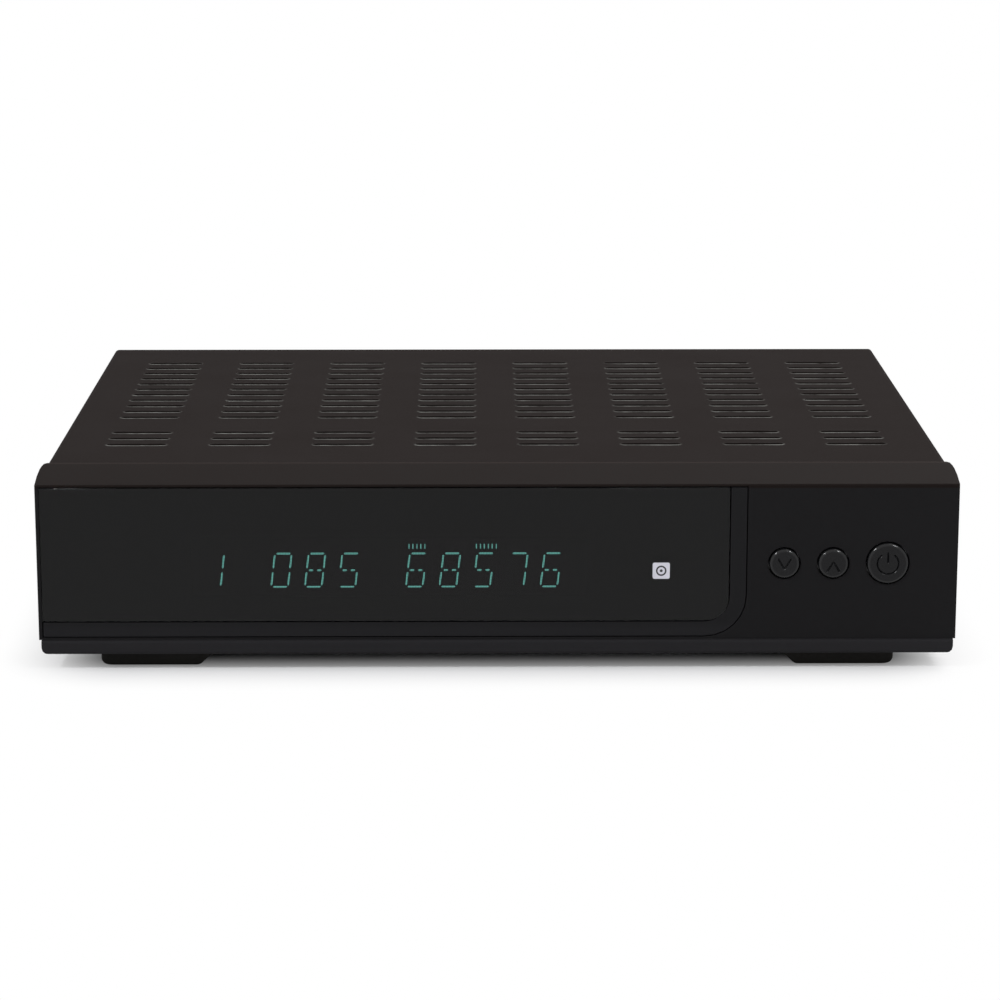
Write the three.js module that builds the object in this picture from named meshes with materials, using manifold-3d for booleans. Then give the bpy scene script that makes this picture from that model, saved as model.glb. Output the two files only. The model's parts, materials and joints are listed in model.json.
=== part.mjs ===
// A flat television receiver: moulded front panel with a tinted window and three push buttons, folded steel
// cover with rows of slots, steel tray on four feet, and the boards and sockets inside it.
// Millimetres, +Z up, front facing -Y, origin on the table under the middle of the receiver.
import * as THREE from "three";
import { mergeVertices } from "three/addons/utils/BufferGeometryUtils.js";
import Module from "manifold-3d";

const wasm = await Module();
wasm.setup();

// Driving dimensions of the whole receiver. A depth is counted back from the flat of the front face.
const receiver = {
  panelWidth: 260,
  coverWidth: 256.9,
  height: 57.4,
  footHeight: 5,
  panelDepth: 14.2,
  coverDepth: 181.7,
};

// Clearances, and the overrun of every cutting tool.
const gap = { seam: 0.3, rest: 0.05, cutout: 0.4, hole: 0.3, overrun: 1, merge: 0.0001 };

// Facets of a quarter turn at small corners, and of a whole turned piece.
const facets = {
  corner: 3,
  wideCorner: 6,
  slotEnd: 3,
  screw: 8,
  turned: 14,
  button: 20,
  wire: 6,
  wireSteps: 10,
};

const panel = {
  wall: 2.5,
  floorWall: 2,
  slopeDrop: 3.2,
  proudOfCover: 0.4,
  rearCornerRadius: 2,
  edgeRadius: 0.9,
  browRadius: 0.5,
  brow: 0.8,
  endStrip: 1,
  pocketDepth: 2.6,
  pocketFloor: 1.5,
  tongueLength: 5,
  tongueWall: 1.5,
  tongueRoot: 3,
  sideTongueHeight: 22,
  sideTongueBase: 25,
};
const lip = { height: 4.1, proud: 0.9, inset: 0.7, noseRadius: 0.8, cornerRadius: 2 };
const snap = { count: 3, fromSide: 38.45, width: 10, thickness: 1.4, reach: 4, catch: 0.9, catchLength: 1.6 };

const lens = { fromButton: 15.55, aboveLip: 5.35, cornerRadius: 7, thickness: 2.3 };
const trim = { below: 4.1, beside: 4.5, thickness: 2.3 };
const display = {
  leftMargin: 37.425,
  rightMargin: 35.025,
  below: 4.3,
  height: 22,
  thickness: 5.6,
  sideBorder: 5,
  edgeBorder: 2.5,
  cornerRadius: 1,
  pinLength: 2.4,
  pinWidth: 1.2,
  pinInset: 11,
  pinCount: 11,
};
const infrared = {
  fromWindow: 19.25,
  below: 0.6,
  width: 6,
  height: 7,
  depth: 3.4,
  domeRadius: 2.2,
  apertureRadius: 3.5,
};

// Buttons: the two small ones step through the channels, the large one switches the receiver on.
const button = {
  belowTop: 26.2,
  channelRadius: 4.3,
  powerRadius: 5.9,
  boardMargin: 11.8,
  largePitch: 15.4,
  smallPitch: 13.8,
  ringGap: 0.35,
  proud: 1.2,
  crown: 0.25,
  edgeRadius: 0.7,
  flangeWidth: 1.5,
  flangeThickness: 1,
  stemRadius: 2,
  stemLength: 3.1,
  travel: 0.6,
};
const guide = { thickness: 1.3, clearance: 0.15, margin: 5, height: 17, cornerRadius: 2, postRadius: 2 };
const pushSwitch = { side: 6, depth: 3.5, plungerRadius: 1.7, plungerReach: 0.8, seatDepth: 1.4 };

const frontBoard = {
  thickness: 1.6,
  leftMargin: 23.85,
  rightMargin: 3.85,
  bottomMargin: 10,
  topMargin: 7.9,
  bossRadius: 3,
  cornerRadius: 2,
};

const cover = {
  sheet: 0.8,
  bendRadius: 1.6,
  hem: 1,
  rearLip: 9,
  rearLipInset: 4,
};
const vent = {
  columns: 8,
  columnPitch: 30.1,
  slotLength: 17.2,
  slotWidth: 2.3,
  frontRows: 3,
  frontPitch: 8.65,
  rearRows: 11,
  rearPitch: 8.93,
  firstRow: 26.4,
  groupGap: 22.7,
};

const tray = {
  sheet: 1,
  sideLip: 16,
  frontWall: 15,
  bendRadius: 1.2,
  sideSetback: 5.6,
  pillarRadius: 3.5,
  pillarHeight: 6,
  pillarInset: 6,
  floorVentColumns: 3,
  floorVentRows: 6,
  floorVentLength: 24,
  floorVentWidth: 3,
  floorVentPitch: 9,
  floorVentColumnPitch: 40,
};

const rearPanel = { sheet: 1, topFlange: 8, bottomFlange: 3.5 };

const foot = {
  width: 30,
  depth: 18,
  outerX: 112.5,
  setback: 9,
  rearSetback: 12,
  slant: 3.1,
  cornerRadius: 1.5,
  planRadius: 2,
  screwFromFront: 12,
  recessRadius: 3.6,
  recessDepth: 2.6,
};
const screw = {
  headRadius: 2.8,
  headHeight: 1.4,
  shankRadius: 1.45,
  length: 5,
  holeClearance: 0.25,
  domeShare: 0.45,
};
const coverScrew = { rearX: 96, belowTop: 5.4, sideZ: 14.5, sideDepth: 118 };

const mainBoard = { thickness: 1.6, depth: 112, rearGap: 1.4, endMargin: 3, cornerRadius: 1 };
const supplyBoard = { thickness: 1.6, depth: 130, rearGap: 5, cornerRadius: 1 };
const insulator = { thickness: 0.4, margin: 1.5, pillarClearance: 0.6, screwClearance: 1 };

// The rear row of sockets runs from the mains side to the aerial side with these spaces between pieces.
const rearRow = { start: 6, space: 3, boardSpace: 5, proud: 0.9 };

const mainsSwitch = {
  width: 15,
  height: 21,
  bezel: 1.6,
  bodyWidth: 12.6,
  bodyHeight: 19,
  bodyDepth: 14,
  mouthWidth: 10.6,
  mouthDepth: 9.2,
  z: 28,
};
const rocker = {
  width: 9.9,
  radius: 8.1,
  crestShare: 0.42,
  valleyShare: 0.3,
  floorDepth: 2,
  pivotRadius: 1.4,
  pivotLength: 0.9,
  pivotClearance: 0.12,
  pivotDepth: 1.2,
  tiltDeg: 8,
};
const mainsInlet = {
  width: 27,
  height: 18,
  flange: 1.8,
  bodyWidth: 23.6,
  bodyHeight: 14.6,
  bodyDepth: 16,
  lobeRadius: 4.7,
  waistShare: 0.8,
  pinSpacing: 8.6,
  mouthDepth: 14,
  pinRadius: 1.2,
  pinLength: 12,
  z: 28,
};

const tuner = { width: 48, height: 15, depth: 52, lidInset: 1.5, lidThickness: 0.6 };
const aerial = {
  radius: 4.75,
  reach: 10.5,
  spacing: 23,
  boreRadius: 3.7,
  boreDepth: 0.8,
  pinHoleRadius: 0.9,
  pinHoleDepth: 6,
  collarRadius: 6.4,
  collarLength: 2.2,
};
const avSocket = {
  width: 49,
  height: 20,
  depth: 18,
  mouthWidth: 46,
  mouthHeight: 15,
  mouthSlant: 6,
  ring: 1.5,
  mouthDepth: 10,
  contactsPerRow: 10,
  contactPitch: 3.81,
  contactWidth: 1.3,
  contactHeight: 4.4,
  contactDepth: 4,
  rowSpacing: 5.6,
};
const phono = {
  pitchX: 14,
  pitchZ: 13,
  blockWidth: 28,
  blockHeight: 26,
  blockDepth: 11,
  ringRadius: 4.9,
  ringLength: 1.6,
  sleeveRadius: 4.15,
  reach: 8.6,
  pinHoleRadius: 1.6,
  pinHoleDepth: 7,
  seatDepth: 3,
};
const video = {
  width: 15,
  height: 6.2,
  depth: 11,
  mouthWidth: 13.9,
  mouthHeight: 4.6,
  mouthSlant: 1.6,
  mouthDepth: 7,
  tongueWidth: 11.4,
  tongueThickness: 1.3,
};
const network = {
  width: 16,
  height: 13.6,
  depth: 21,
  mouthWidth: 11.8,
  mouthHeight: 7.2,
  mouthBase: 3.6,
  mouthDepth: 12,
  latchWidth: 6.2,
  latchHeight: 1.6,
};
const data = {
  width: 14.4,
  height: 7,
  depth: 14,
  wall: 0.7,
  mouthDepth: 10,
  tongueThickness: 1.9,
  tongueWidth: 11.2,
  tongueDrop: 0.7,
};

const processor = { side: 27, thickness: 2.2, fromRear: 74 };
const heatSink = { side: 38, base: 3, height: 17, fins: 9, finThickness: 1.2 };
const memory = { width: 14, depth: 20, thickness: 1.2, space: 9 };

const transformer = { width: 28, depth: 32, height: 25, coreWidth: 15, legDepth: 6, yoke: 7, fromRear: 62 };
const mainsCapacitor = { radius: 9, height: 27, fromRear: 96, rimRadius: 1 };
const outputCapacitor = { radius: 5, height: 20, fromRear: 124, rimRadius: 0.6 };
const supplySink = {
  width: 30,
  height: 26,
  thickness: 2.4,
  ribs: 5,
  ribDepth: 5,
  ribThickness: 1.4,
  fromRear: 40,
};
const fuse = {
  radius: 2.6,
  length: 20,
  capLength: 5,
  capGrowth: 0.25,
  fromRear: 118,
  rise: 1.2,
  clipWidth: 2.5,
};

const ribbon = {
  width: 20,
  thickness: 1,
  plugHeight: 5,
  plugDepth: 4.6,
  centreX: -34,
  sag: 9,
  entryShare: 0.7,
  steps: 8,
};
const harness = { width: 9, thickness: 1.6, rise: 8, fromFront: 26, plugWidth: 5, plugHeight: 5, inset: 3 };
const terminal = { width: 4.8, thickness: 0.8, length: 6, switchSpacing: 8 };
const mainsWire = { radius: 1.2, lead: 3, fall: 12, inset: 6 };

// Levels and depths that several pieces share.
const underside = receiver.footHeight;
const floorTop = underside + tray.sheet;
const boardBase = floorTop + tray.pillarHeight;
const coverTop = receiver.height - panel.proudOfCover;
const coverCeiling = coverTop - cover.sheet;
const lipTop = underside + lip.height;
const browZ = receiver.height - panel.slopeDrop;
const coverHalf = receiver.coverWidth / 2;
const coverInnerHalf = coverHalf - cover.sheet;
const panelHalf = receiver.panelWidth / 2;
const trayHalf = coverInnerHalf - gap.seam;
const coverBack = receiver.panelDepth + receiver.coverDepth;
const wallOuter = coverBack - cover.sheet - gap.seam;
const wallInner = wallOuter - rearPanel.sheet;
const frontReach = Math.max(button.proud, lip.proud);
const frontFace = (frontReach - wallOuter - aerial.reach) / 2;
const at = (depth) => frontFace + depth;

// Places on the front face that follow the panel's edges.
const frontBoardHalf = Math.min(trayHalf - panel.tongueWall, panelHalf - panel.wall);
const boardLeft = frontBoard.leftMargin - frontBoardHalf;
const boardRight = frontBoardHalf - frontBoard.rightMargin;
const powerX = boardRight - button.boardMargin;
const channelUpX = powerX - button.largePitch;
const channelDownX = channelUpX - button.smallPitch;
const lensRight = channelDownX - lens.fromButton;
const lensBottom = lipTop + lens.aboveLip;
const windowTop = browZ - panel.brow;
const displayLeft = panel.endStrip - panelHalf + display.leftMargin;
const displayWidth = lensRight - display.rightMargin - displayLeft;
const displayX = displayLeft + displayWidth / 2;
const displayZ = (lensBottom + windowTop) / 2 - display.below;
const infraredX = lensRight - infrared.fromWindow;
const infraredZ = displayZ - infrared.below;
const buttonZ = receiver.height - button.belowTop;
const boardBottom = underside + frontBoard.bottomMargin;
const boardTop = receiver.height - frontBoard.topMargin;

// The stack behind the front face: pocket, button flange, guide plate, push switches, front board.
const flangeFront = panel.wall + gap.seam;
const flangeBack = flangeFront + button.flangeThickness;
const guideFront = flangeBack + button.travel + gap.seam;
const guideBack = guideFront + guide.thickness;
const stemEnd = flangeBack + button.stemLength;
const plungerFront = stemEnd + gap.seam;
const switchFront = plungerFront + pushSwitch.plungerReach;
const plungerSeat = switchFront + pushSwitch.seatDepth;
const frontBoardFace = switchFront + pushSwitch.depth;
const frontBoardBack = frontBoardFace + frontBoard.thickness;
const pocketBack = panel.pocketDepth + panel.pocketFloor;

const group = new THREE.Group();

// Solids, made from closed three.js geometries.
function solidOf(geometry) {
  const bare = geometry.index ? geometry.toNonIndexed() : geometry.clone();
  bare.deleteAttribute("normal");
  bare.deleteAttribute("uv");
  const merged = mergeVertices(bare, gap.merge);
  const kept = [];
  for (let i = 0; i < merged.index.count; i += 3) {
    const [a, b, c] = [0, 1, 2].map((corner) => merged.index.getX(i + corner));
    if (a !== b && b !== c && c !== a) kept.push(a, b, c);
  }
  const vertProperties = merged.attributes.position.array;
  return new wasm.Manifold(new wasm.Mesh({ numProp: 3, vertProperties, triVerts: new Uint32Array(kept) }));
}

function geometryOf(solid) {
  const mesh = solid.getMesh();
  const geometry = new THREE.BufferGeometry();
  geometry.setAttribute("position", new THREE.BufferAttribute(mesh.vertProperties, 3));
  geometry.setIndex(new THREE.BufferAttribute(mesh.triVerts, 1));
  const faceted = geometry.toNonIndexed();
  faceted.computeVertexNormals();
  return faceted;
}

const finish = (color, roughness, metalness) => ({ color, roughness, metalness });
const finishes = {
  panel: finish(0x1f1f21, 0.42, 0),
  window: finish(0x101012, 0.08, 0),
  cap: finish(0x242426, 0.3, 0),
  cover: finish(0x332e2d, 0.55, 0.3),
  steel: finish(0x8d8f90, 0.4, 0.9),
  foot: finish(0x141413, 0.8, 0),
  screw: finish(0x2a2a2b, 0.35, 0.9),
  board: finish(0x1d4a2c, 0.5, 0),
  displayGlass: finish(0x1b2a28, 0.15, 0),
  blackPlastic: finish(0x18181a, 0.5, 0),
  greyPlastic: finish(0x8b8b88, 0.5, 0),
  tinned: finish(0xb4b6b6, 0.3, 0.95),
  nickel: finish(0xbdbcb4, 0.25, 1),
  chip: finish(0x1a1a1b, 0.45, 0),
  aluminium: finish(0xa9abad, 0.35, 0.9),
  tape: finish(0xb59b35, 0.5, 0),
  sleeve: finish(0x1d2336, 0.35, 0),
  fuseGlass: finish(0xc9d0cf, 0.1, 0),
  insulator: finish(0x9fa49c, 0.4, 0),
  ribbon: finish(0xc8c8c4, 0.45, 0),
  harness: finish(0x9a2f2a, 0.5, 0),
  wire: finish(0x2e4c86, 0.5, 0),
  yellow: finish(0xd8b32a, 0.4, 0),
  white: finish(0xd8d8d4, 0.4, 0),
  red: finish(0xa92323, 0.4, 0),
  orange: finish(0xc86a1e, 0.4, 0),
};

// Flat neighbouring faces are merged before a piece is placed.
function place(name, solid, look) {
  const clean = solid.asOriginal().simplify(gap.merge);
  const mesh = new THREE.Mesh(geometryOf(clean), new THREE.MeshStandardMaterial(look));
  mesh.name = name;
  group.add(mesh);
}

function arc(cx, cy, radius, startDeg, endDeg, steps) {
  const points = [];
  for (let i = 0; i <= steps; i++) {
    const angle = THREE.MathUtils.degToRad(startDeg + ((endDeg - startDeg) * i) / steps);
    points.push([cx + radius * Math.cos(angle), cy + radius * Math.sin(angle)]);
  }
  return points;
}

const rightAngle = 90;

// A rectangle with its own radius at each corner, counted round from the lower left one.
function roundedRect(x0, x1, y0, y1, radii, steps = facets.corner) {
  const [lowLeft, lowRight, highRight, highLeft] = Array.isArray(radii) ? radii : Array(4).fill(radii);
  const corner = (x, y, radius, start, dx, dy) =>
    radius > 0 ? arc(x + dx * radius, y + dy * radius, radius, start, start + rightAngle, steps) : [[x, y]];
  return [
    ...corner(x0, y0, lowLeft, 180, 1, 1),
    ...corner(x1, y0, lowRight, 270, -1, 1),
    ...corner(x1, y1, highRight, 0, -1, -1),
    ...corner(x0, y1, highLeft, 90, 1, -1),
  ];
}

const rect = (x0, x1, y0, y1) => roundedRect(x0, x1, y0, y1, 0);
const toShape = (points) => new THREE.Shape(points.map(([a, b]) => new THREE.Vector2(a, b)));

function extrude(outlines, length) {
  return new THREE.ExtrudeGeometry(outlines.map(toShape), { depth: length, bevelEnabled: false });
}

const axisX = new THREE.Vector3(1, 0, 0);
const axisY = new THREE.Vector3(0, 1, 0);
const axisZ = new THREE.Vector3(0, 0, 1);
const sideways = new THREE.Matrix4().makeBasis(axisY, axisZ, axisX);
const upright = new THREE.Matrix4().makeBasis(axisX, axisZ, axisY.clone().negate());

// Outlines drawn as (y, z), (x, z) and (x, y), run along X, Y and Z.
const alongX = (points, x0, x1) =>
  solidOf(extrude([points], x1 - x0).applyMatrix4(sideways).translate(x0, 0, 0));
const alongY = (points, y0, y1) =>
  solidOf(extrude([points], y1 - y0).applyMatrix4(upright).translate(0, y1, 0));
const alongZ = (points, z0, z1) => solidOf(extrude([points], z1 - z0).translate(0, 0, z0));
const box = (x0, x1, y0, y1, z0, z1) =>
  solidOf(
    new THREE.BoxGeometry(x1 - x0, y1 - y0, z1 - z0).translate((x0 + x1) / 2, (y0 + y1) / 2, (z0 + z1) / 2),
  );

// A turned solid from its profile of (radius, level), listed from the low end to the high one.
function turned(profile, steps) {
  return new THREE.LatheGeometry(profile.map(([r, level]) => new THREE.Vector2(r, level)), steps);
}
const turnedY = (profile, x, z, steps = facets.turned) => solidOf(turned(profile, steps).translate(x, 0, z));
const turnedZ = (profile, x, y, steps = facets.turned) =>
  solidOf(turned(profile, steps).rotateX(Math.PI / 2).translate(x, y, 0));
const rodY = (radius, y0, y1, x, z, steps) =>
  turnedY([[0, y0], [radius, y0], [radius, y1], [0, y1]], x, z, steps);
const rodZ = (radius, z0, z1, x, y, steps) =>
  turnedZ([[0, z0], [radius, z0], [radius, z1], [0, z1]], x, y, steps);
const rodX = (radius, x0, x1, y, z, steps) =>
  solidOf(turned([[0, x0], [radius, x0], [radius, x1], [0, x1]], steps ?? facets.turned)
    .rotateZ(-Math.PI / 2).translate(0, y, z));

const inOrder = (a, b) => (a < b ? [a, b] : [b, a]);
const joined = (solids) => solids.reduce((sum, solid) => sum.add(solid));
const cut = (solid, tools) => tools.reduce((left, tool) => left.subtract(tool), solid);

// The window's outline, grown on its free sides. Its upper and left sides lie along the panel's brow and end.
function windowOutline(below, beside, inset) {
  const radius = lens.cornerRadius + (below + beside) / 2;
  return roundedRect(
    -panelHalf + panel.endStrip + inset,
    lensRight + beside,
    lensBottom - below,
    windowTop - inset,
    [0, radius, 0, 0],
    facets.wideCorner,
  );
}

const buttonSpecs = [
  { name: "channel_down", x: channelDownX, radius: button.channelRadius },
  { name: "channel_up", x: channelUpX, radius: button.channelRadius },
  { name: "power", x: powerX, radius: button.powerRadius },
];
const bossPlaces = [
  [boardLeft + 2 * frontBoard.bossRadius, boardTop - 2 * frontBoard.bossRadius],
  [boardLeft + 2 * frontBoard.bossRadius, boardBottom + 2 * frontBoard.bossRadius],
  [boardRight - 2 * frontBoard.bossRadius, boardTop - 2 * frontBoard.bossRadius],
  [lensRight - 2 * frontBoard.bossRadius, boardBottom + 2 * frontBoard.bossRadius],
];
const snapSpan = 2 * (Math.min(coverHalf, panelHalf) - snap.fromSide);
const snapPlaces = Array.from({ length: snap.count }, (_, i) => (i / (snap.count - 1) - 1 / 2) * snapSpan);
const snapBase = floorTop + gap.seam + tray.bendRadius;

function makeFrontPanel() {
  const back = at(receiver.panelDepth);
  const front = frontFace;
  const nose = front - lip.proud;
  const profile = [
    [back, underside],
    ...arc(nose + lip.noseRadius, underside + lip.noseRadius, lip.noseRadius, 270, 180, facets.corner),
    ...arc(nose + lip.noseRadius, lipTop - lip.noseRadius, lip.noseRadius, 180, 90, facets.corner),
    [front, lipTop],
    [front, browZ - panel.browRadius],
    [front + panel.browRadius / 2, browZ - panel.browRadius / 4],
    [back, receiver.height],
  ];
  const frontOutline = [
    ...roundedRect(-panelHalf + lip.inset, panelHalf - lip.inset, underside, lipTop,
      [lip.cornerRadius, lip.cornerRadius, 0, 0]).slice(0, -1),
    ...roundedRect(-panelHalf, panelHalf, lipTop, receiver.height,
      [0, 0, panel.rearCornerRadius, panel.rearCornerRadius]).slice(1),
    [-panelHalf, lipTop],
    [-panelHalf + lip.inset, lipTop],
  ];
  const rear = back + gap.overrun;
  const planOutline = roundedRect(-panelHalf, panelHalf, nose, rear,
    [panel.edgeRadius, panel.edgeRadius, 0, 0]);
  let body = alongX(profile, -panelHalf, panelHalf)
    .intersect(alongY(frontOutline, nose - gap.overrun, rear))
    .intersect(alongZ(planOutline, 0, receiver.height + gap.overrun));

  const slope = panel.slopeDrop / receiver.panelDepth;
  const innerFront = front + panel.wall;
  const hollow = [
    [rear, underside + panel.floorWall],
    [innerFront, underside + panel.floorWall],
    [innerFront, browZ + slope * panel.wall - panel.wall],
    [rear, receiver.height + slope * gap.overrun - panel.wall],
  ];
  body = body.subtract(alongX(hollow, -panelHalf + panel.wall, panelHalf - panel.wall));

  const besideWindow = gap.seam + trim.beside + gap.seam;
  const belowWindow = gap.seam + trim.below + gap.seam;
  const pocket = windowOutline(belowWindow, besideWindow, 0);
  const backing = alongY(pocket, front + panel.wall - gap.overrun, at(pocketBack))
    .intersect(box(-panelHalf + panel.wall - gap.overrun, panelHalf, nose, back, underside, browZ));
  body = body.add(backing);
  body = body.subtract(alongY(pocket, nose - gap.overrun, at(panel.pocketDepth)));

  const displayHole = roundedRect(
    displayLeft + display.sideBorder, displayLeft + displayWidth - display.sideBorder,
    displayZ - display.height / 2 + display.edgeBorder, displayZ + display.height / 2 - display.edgeBorder,
    display.cornerRadius,
  );
  body = cut(body, [
    alongY(displayHole, front, back),
    rodY(infrared.apertureRadius, front, back, infraredX, infraredZ, facets.turned),
    ...buttonSpecs.map((b) =>
      rodY(b.radius + button.ringGap, nose - gap.overrun, at(flangeFront), b.x, buttonZ, facets.button)),
  ]);

  const bosses = bossPlaces.map(([x, z]) => {
    const root = x < lensRight ? pocketBack : panel.wall;
    return rodY(frontBoard.bossRadius, at(root - panel.pocketFloor / 2), at(frontBoardFace - gap.rest), x, z,
      facets.screw);
  });
  const posts = guidePosts().map(([x, z]) =>
    rodY(guide.postRadius, at(panel.wall / 2), at(guideFront - gap.rest), x, z, facets.screw));
  const tongueTop = coverCeiling - gap.seam;
  const sideTongueOut = coverInnerHalf - gap.seam;
  const tongueRootDepth = at(receiver.panelDepth - panel.tongueRoot);
  const tongueEnd = at(receiver.panelDepth + panel.tongueLength);
  const topTongue = box(
    -sideTongueOut + cover.bendRadius, sideTongueOut - cover.bendRadius,
    tongueRootDepth, tongueEnd, tongueTop - panel.tongueWall, tongueTop,
  );
  const sideTongues = [-1, 1].map((side) => {
    const inner = side * (sideTongueOut - panel.tongueWall);
    const outer = side * sideTongueOut;
    const wallMiddle = side * (panelHalf - panel.wall / 2);
    const z0 = panel.sideTongueBase;
    const z1 = panel.sideTongueBase + panel.sideTongueHeight;
    const blade = box(Math.min(inner, outer), Math.max(inner, outer), tongueRootDepth, tongueEnd, z0, z1);
    const root = box(Math.min(inner, wallMiddle), Math.max(inner, wallMiddle), tongueRootDepth, back, z0, z1);
    return blade.add(root);
  });
  const hookEnd = at(receiver.panelDepth + gap.seam + tray.sheet + snap.reach);
  const hooks = snapPlaces.map((x) => {
    const x0 = x - snap.width / 2;
    const x1 = x + snap.width / 2;
    const arm = box(x0, x1, tongueRootDepth, hookEnd, snapBase, snapBase + snap.thickness);
    const root = box(x0, x1, tongueRootDepth, back, underside + panel.floorWall / 2,
      snapBase + snap.thickness);
    const catchFoot = hookEnd - snap.catchLength - snap.catch;
    const tooth = alongX([
      [catchFoot, snapBase + snap.thickness / 2],
      [hookEnd, snapBase + snap.thickness / 2],
      [hookEnd, snapBase + snap.thickness],
      [catchFoot + snap.catch, snapBase + snap.thickness + snap.catch],
      [catchFoot, snapBase + snap.thickness + snap.catch],
    ], x0, x1);
    return joined([arm, root, tooth]);
  });
  place("front_panel", joined([body, ...bosses, ...posts, topTongue, ...sideTongues, ...hooks]),
    finishes.panel);
}

function makeWindow() {
  const plate = alongY(windowOutline(0, 0, gap.seam), frontFace, at(lens.thickness));
  place("display_window", plate, finishes.window);
  const outer = windowOutline(gap.seam + trim.below, gap.seam + trim.beside, gap.seam);
  const inner = windowOutline(gap.seam, gap.seam, 0);
  const reach = frontFace - gap.overrun;
  const corner = box(-panelHalf, lensRight, reach, at(trim.thickness) + gap.overrun,
    lensBottom + lens.cornerRadius, receiver.height);
  const band = alongY(outer, frontFace, at(trim.thickness))
    .subtract(alongY(inner, reach, at(trim.thickness) + gap.overrun))
    .subtract(corner);
  place("window_trim", band, finishes.panel);
}

function guideSpan() {
  const first = buttonSpecs[0];
  const last = buttonSpecs[buttonSpecs.length - 1];
  return [first.x - first.radius - guide.margin, last.x + last.radius + guide.margin];
}

// Posts beyond the outer buttons' flanges carry the guide plate.
function guidePosts() {
  const [left, right] = guideSpan();
  const raise = guide.height / 2 - guide.postRadius;
  return [
    [left + guide.postRadius, buttonZ + raise],
    [left + guide.postRadius, buttonZ - raise],
    [right - guide.postRadius, buttonZ + raise],
    [right - guide.postRadius, buttonZ - raise],
  ];
}

function makeButtons() {
  const front = frontFace - button.proud;
  for (const b of buttonSpecs) {
    const edge = arc(b.radius - button.edgeRadius, front + button.crown + button.edgeRadius,
      button.edgeRadius, -90, 0, facets.corner);
    const crownSteps = [
      [0, front],
      [b.radius / 2, front + button.crown / 4],
    ];
    const flangeRadius = b.radius + button.flangeWidth;
    const cap = turnedY([
      ...crownSteps,
      ...edge,
      [b.radius, at(flangeFront)],
      [flangeRadius, at(flangeFront)],
      [flangeRadius, at(flangeBack)],
      [button.stemRadius, at(flangeBack)],
      [button.stemRadius, at(stemEnd)],
      [0, at(stemEnd)],
    ], b.x, buttonZ, facets.button);
    place(`button_${b.name}`, cap, finishes.cap);
    place(`switch_plunger_${b.name}`,
      rodY(pushSwitch.plungerRadius, at(plungerFront), at(plungerSeat), b.x, buttonZ, facets.screw),
      finishes.greyPlastic);
  }
}

// The body of the push switch behind a button, standing on the front board.
function switchBody(b) {
  const x0 = b.x - pushSwitch.side / 2;
  const z0 = buttonZ - pushSwitch.side / 2;
  const block = box(x0, x0 + pushSwitch.side, at(switchFront), at(frontBoardFace) + gap.rest, z0,
    z0 + pushSwitch.side);
  return block.subtract(rodY(pushSwitch.plungerRadius + gap.hole, at(switchFront) - gap.overrun,
    at(plungerSeat + button.travel + gap.seam), b.x, buttonZ, facets.screw));
}

function makeButtonGuide() {
  const [left, right] = guideSpan();
  const z0 = buttonZ - guide.height / 2;
  const plate = alongY(roundedRect(left, right, z0, z0 + guide.height, guide.cornerRadius), at(guideFront),
    at(guideBack));
  const bores = buttonSpecs.map((b) =>
    rodY(button.stemRadius + guide.clearance, at(guideFront) - gap.overrun, at(guideBack) + gap.overrun, b.x,
      buttonZ, facets.button));
  place("button_guide", cut(plate, bores), finishes.blackPlastic);
}

function makeFrontBoard() {
  const plate = alongY(roundedRect(boardLeft, boardRight, boardBottom, boardTop, frontBoard.cornerRadius),
    at(frontBoardFace), at(frontBoardBack));
  place("front_board", joined([plate, ...buttonSpecs.map(switchBody)]), finishes.board);

  const z0 = displayZ - display.height / 2;
  const tubeBack = frontBoardFace - gap.seam;
  const tube = alongY(
    roundedRect(displayLeft, displayLeft + displayWidth, z0, z0 + display.height, display.cornerRadius),
    at(tubeBack - display.thickness), at(tubeBack));
  const pinPitch = (displayWidth - 2 * display.pinInset) / (display.pinCount - 1);
  const pins = Array.from({ length: display.pinCount }, (_, i) => {
    const x = displayLeft + display.pinInset + i * pinPitch - display.pinWidth / 2;
    return box(x, x + display.pinWidth, at(tubeBack) - display.pinWidth, at(frontBoardFace - gap.rest),
      z0 - display.pinLength, z0 + display.pinWidth);
  });
  place("display_tube", joined([tube, ...pins]), finishes.displayGlass);

  const sensorBack = at(frontBoardFace - gap.rest);
  const sensorFront = sensorBack - infrared.depth;
  const block = box(infraredX - infrared.width / 2, infraredX + infrared.width / 2, sensorFront, sensorBack,
    infraredZ - infrared.height / 2, infraredZ + infrared.height / 2);
  const dome = turnedY([
    ...arc(0, sensorFront, infrared.domeRadius, -90, 0, facets.corner),
    [infrared.domeRadius, sensorBack],
    [0, sensorBack],
  ], infraredX, infraredZ, facets.screw);
  place("infrared_receiver", block.add(dome), finishes.blackPlastic);
}

// One outline for each slot, columns across the cover and rows from the front.
function ventOutlines() {
  const rows = [];
  for (let i = 0; i < vent.frontRows; i++) rows.push(vent.firstRow + i * vent.frontPitch);
  const rearStart = rows[rows.length - 1] + vent.groupGap;
  for (let i = 0; i < vent.rearRows; i++) rows.push(rearStart + i * vent.rearPitch);
  const radius = vent.slotWidth / 2;
  const half = vent.slotLength / 2 - radius;
  const outlines = [];
  for (let column = 0; column < vent.columns; column++) {
    const x = (column - (vent.columns - 1) / 2) * vent.columnPitch;
    for (const row of rows) {
      const y = at(receiver.panelDepth + row);
      outlines.push([
        ...arc(x + half, y, radius, -90, 90, facets.slotEnd),
        ...arc(x - half, y, radius, 90, 270, facets.slotEnd),
      ]);
    }
  }
  return outlines;
}

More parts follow.
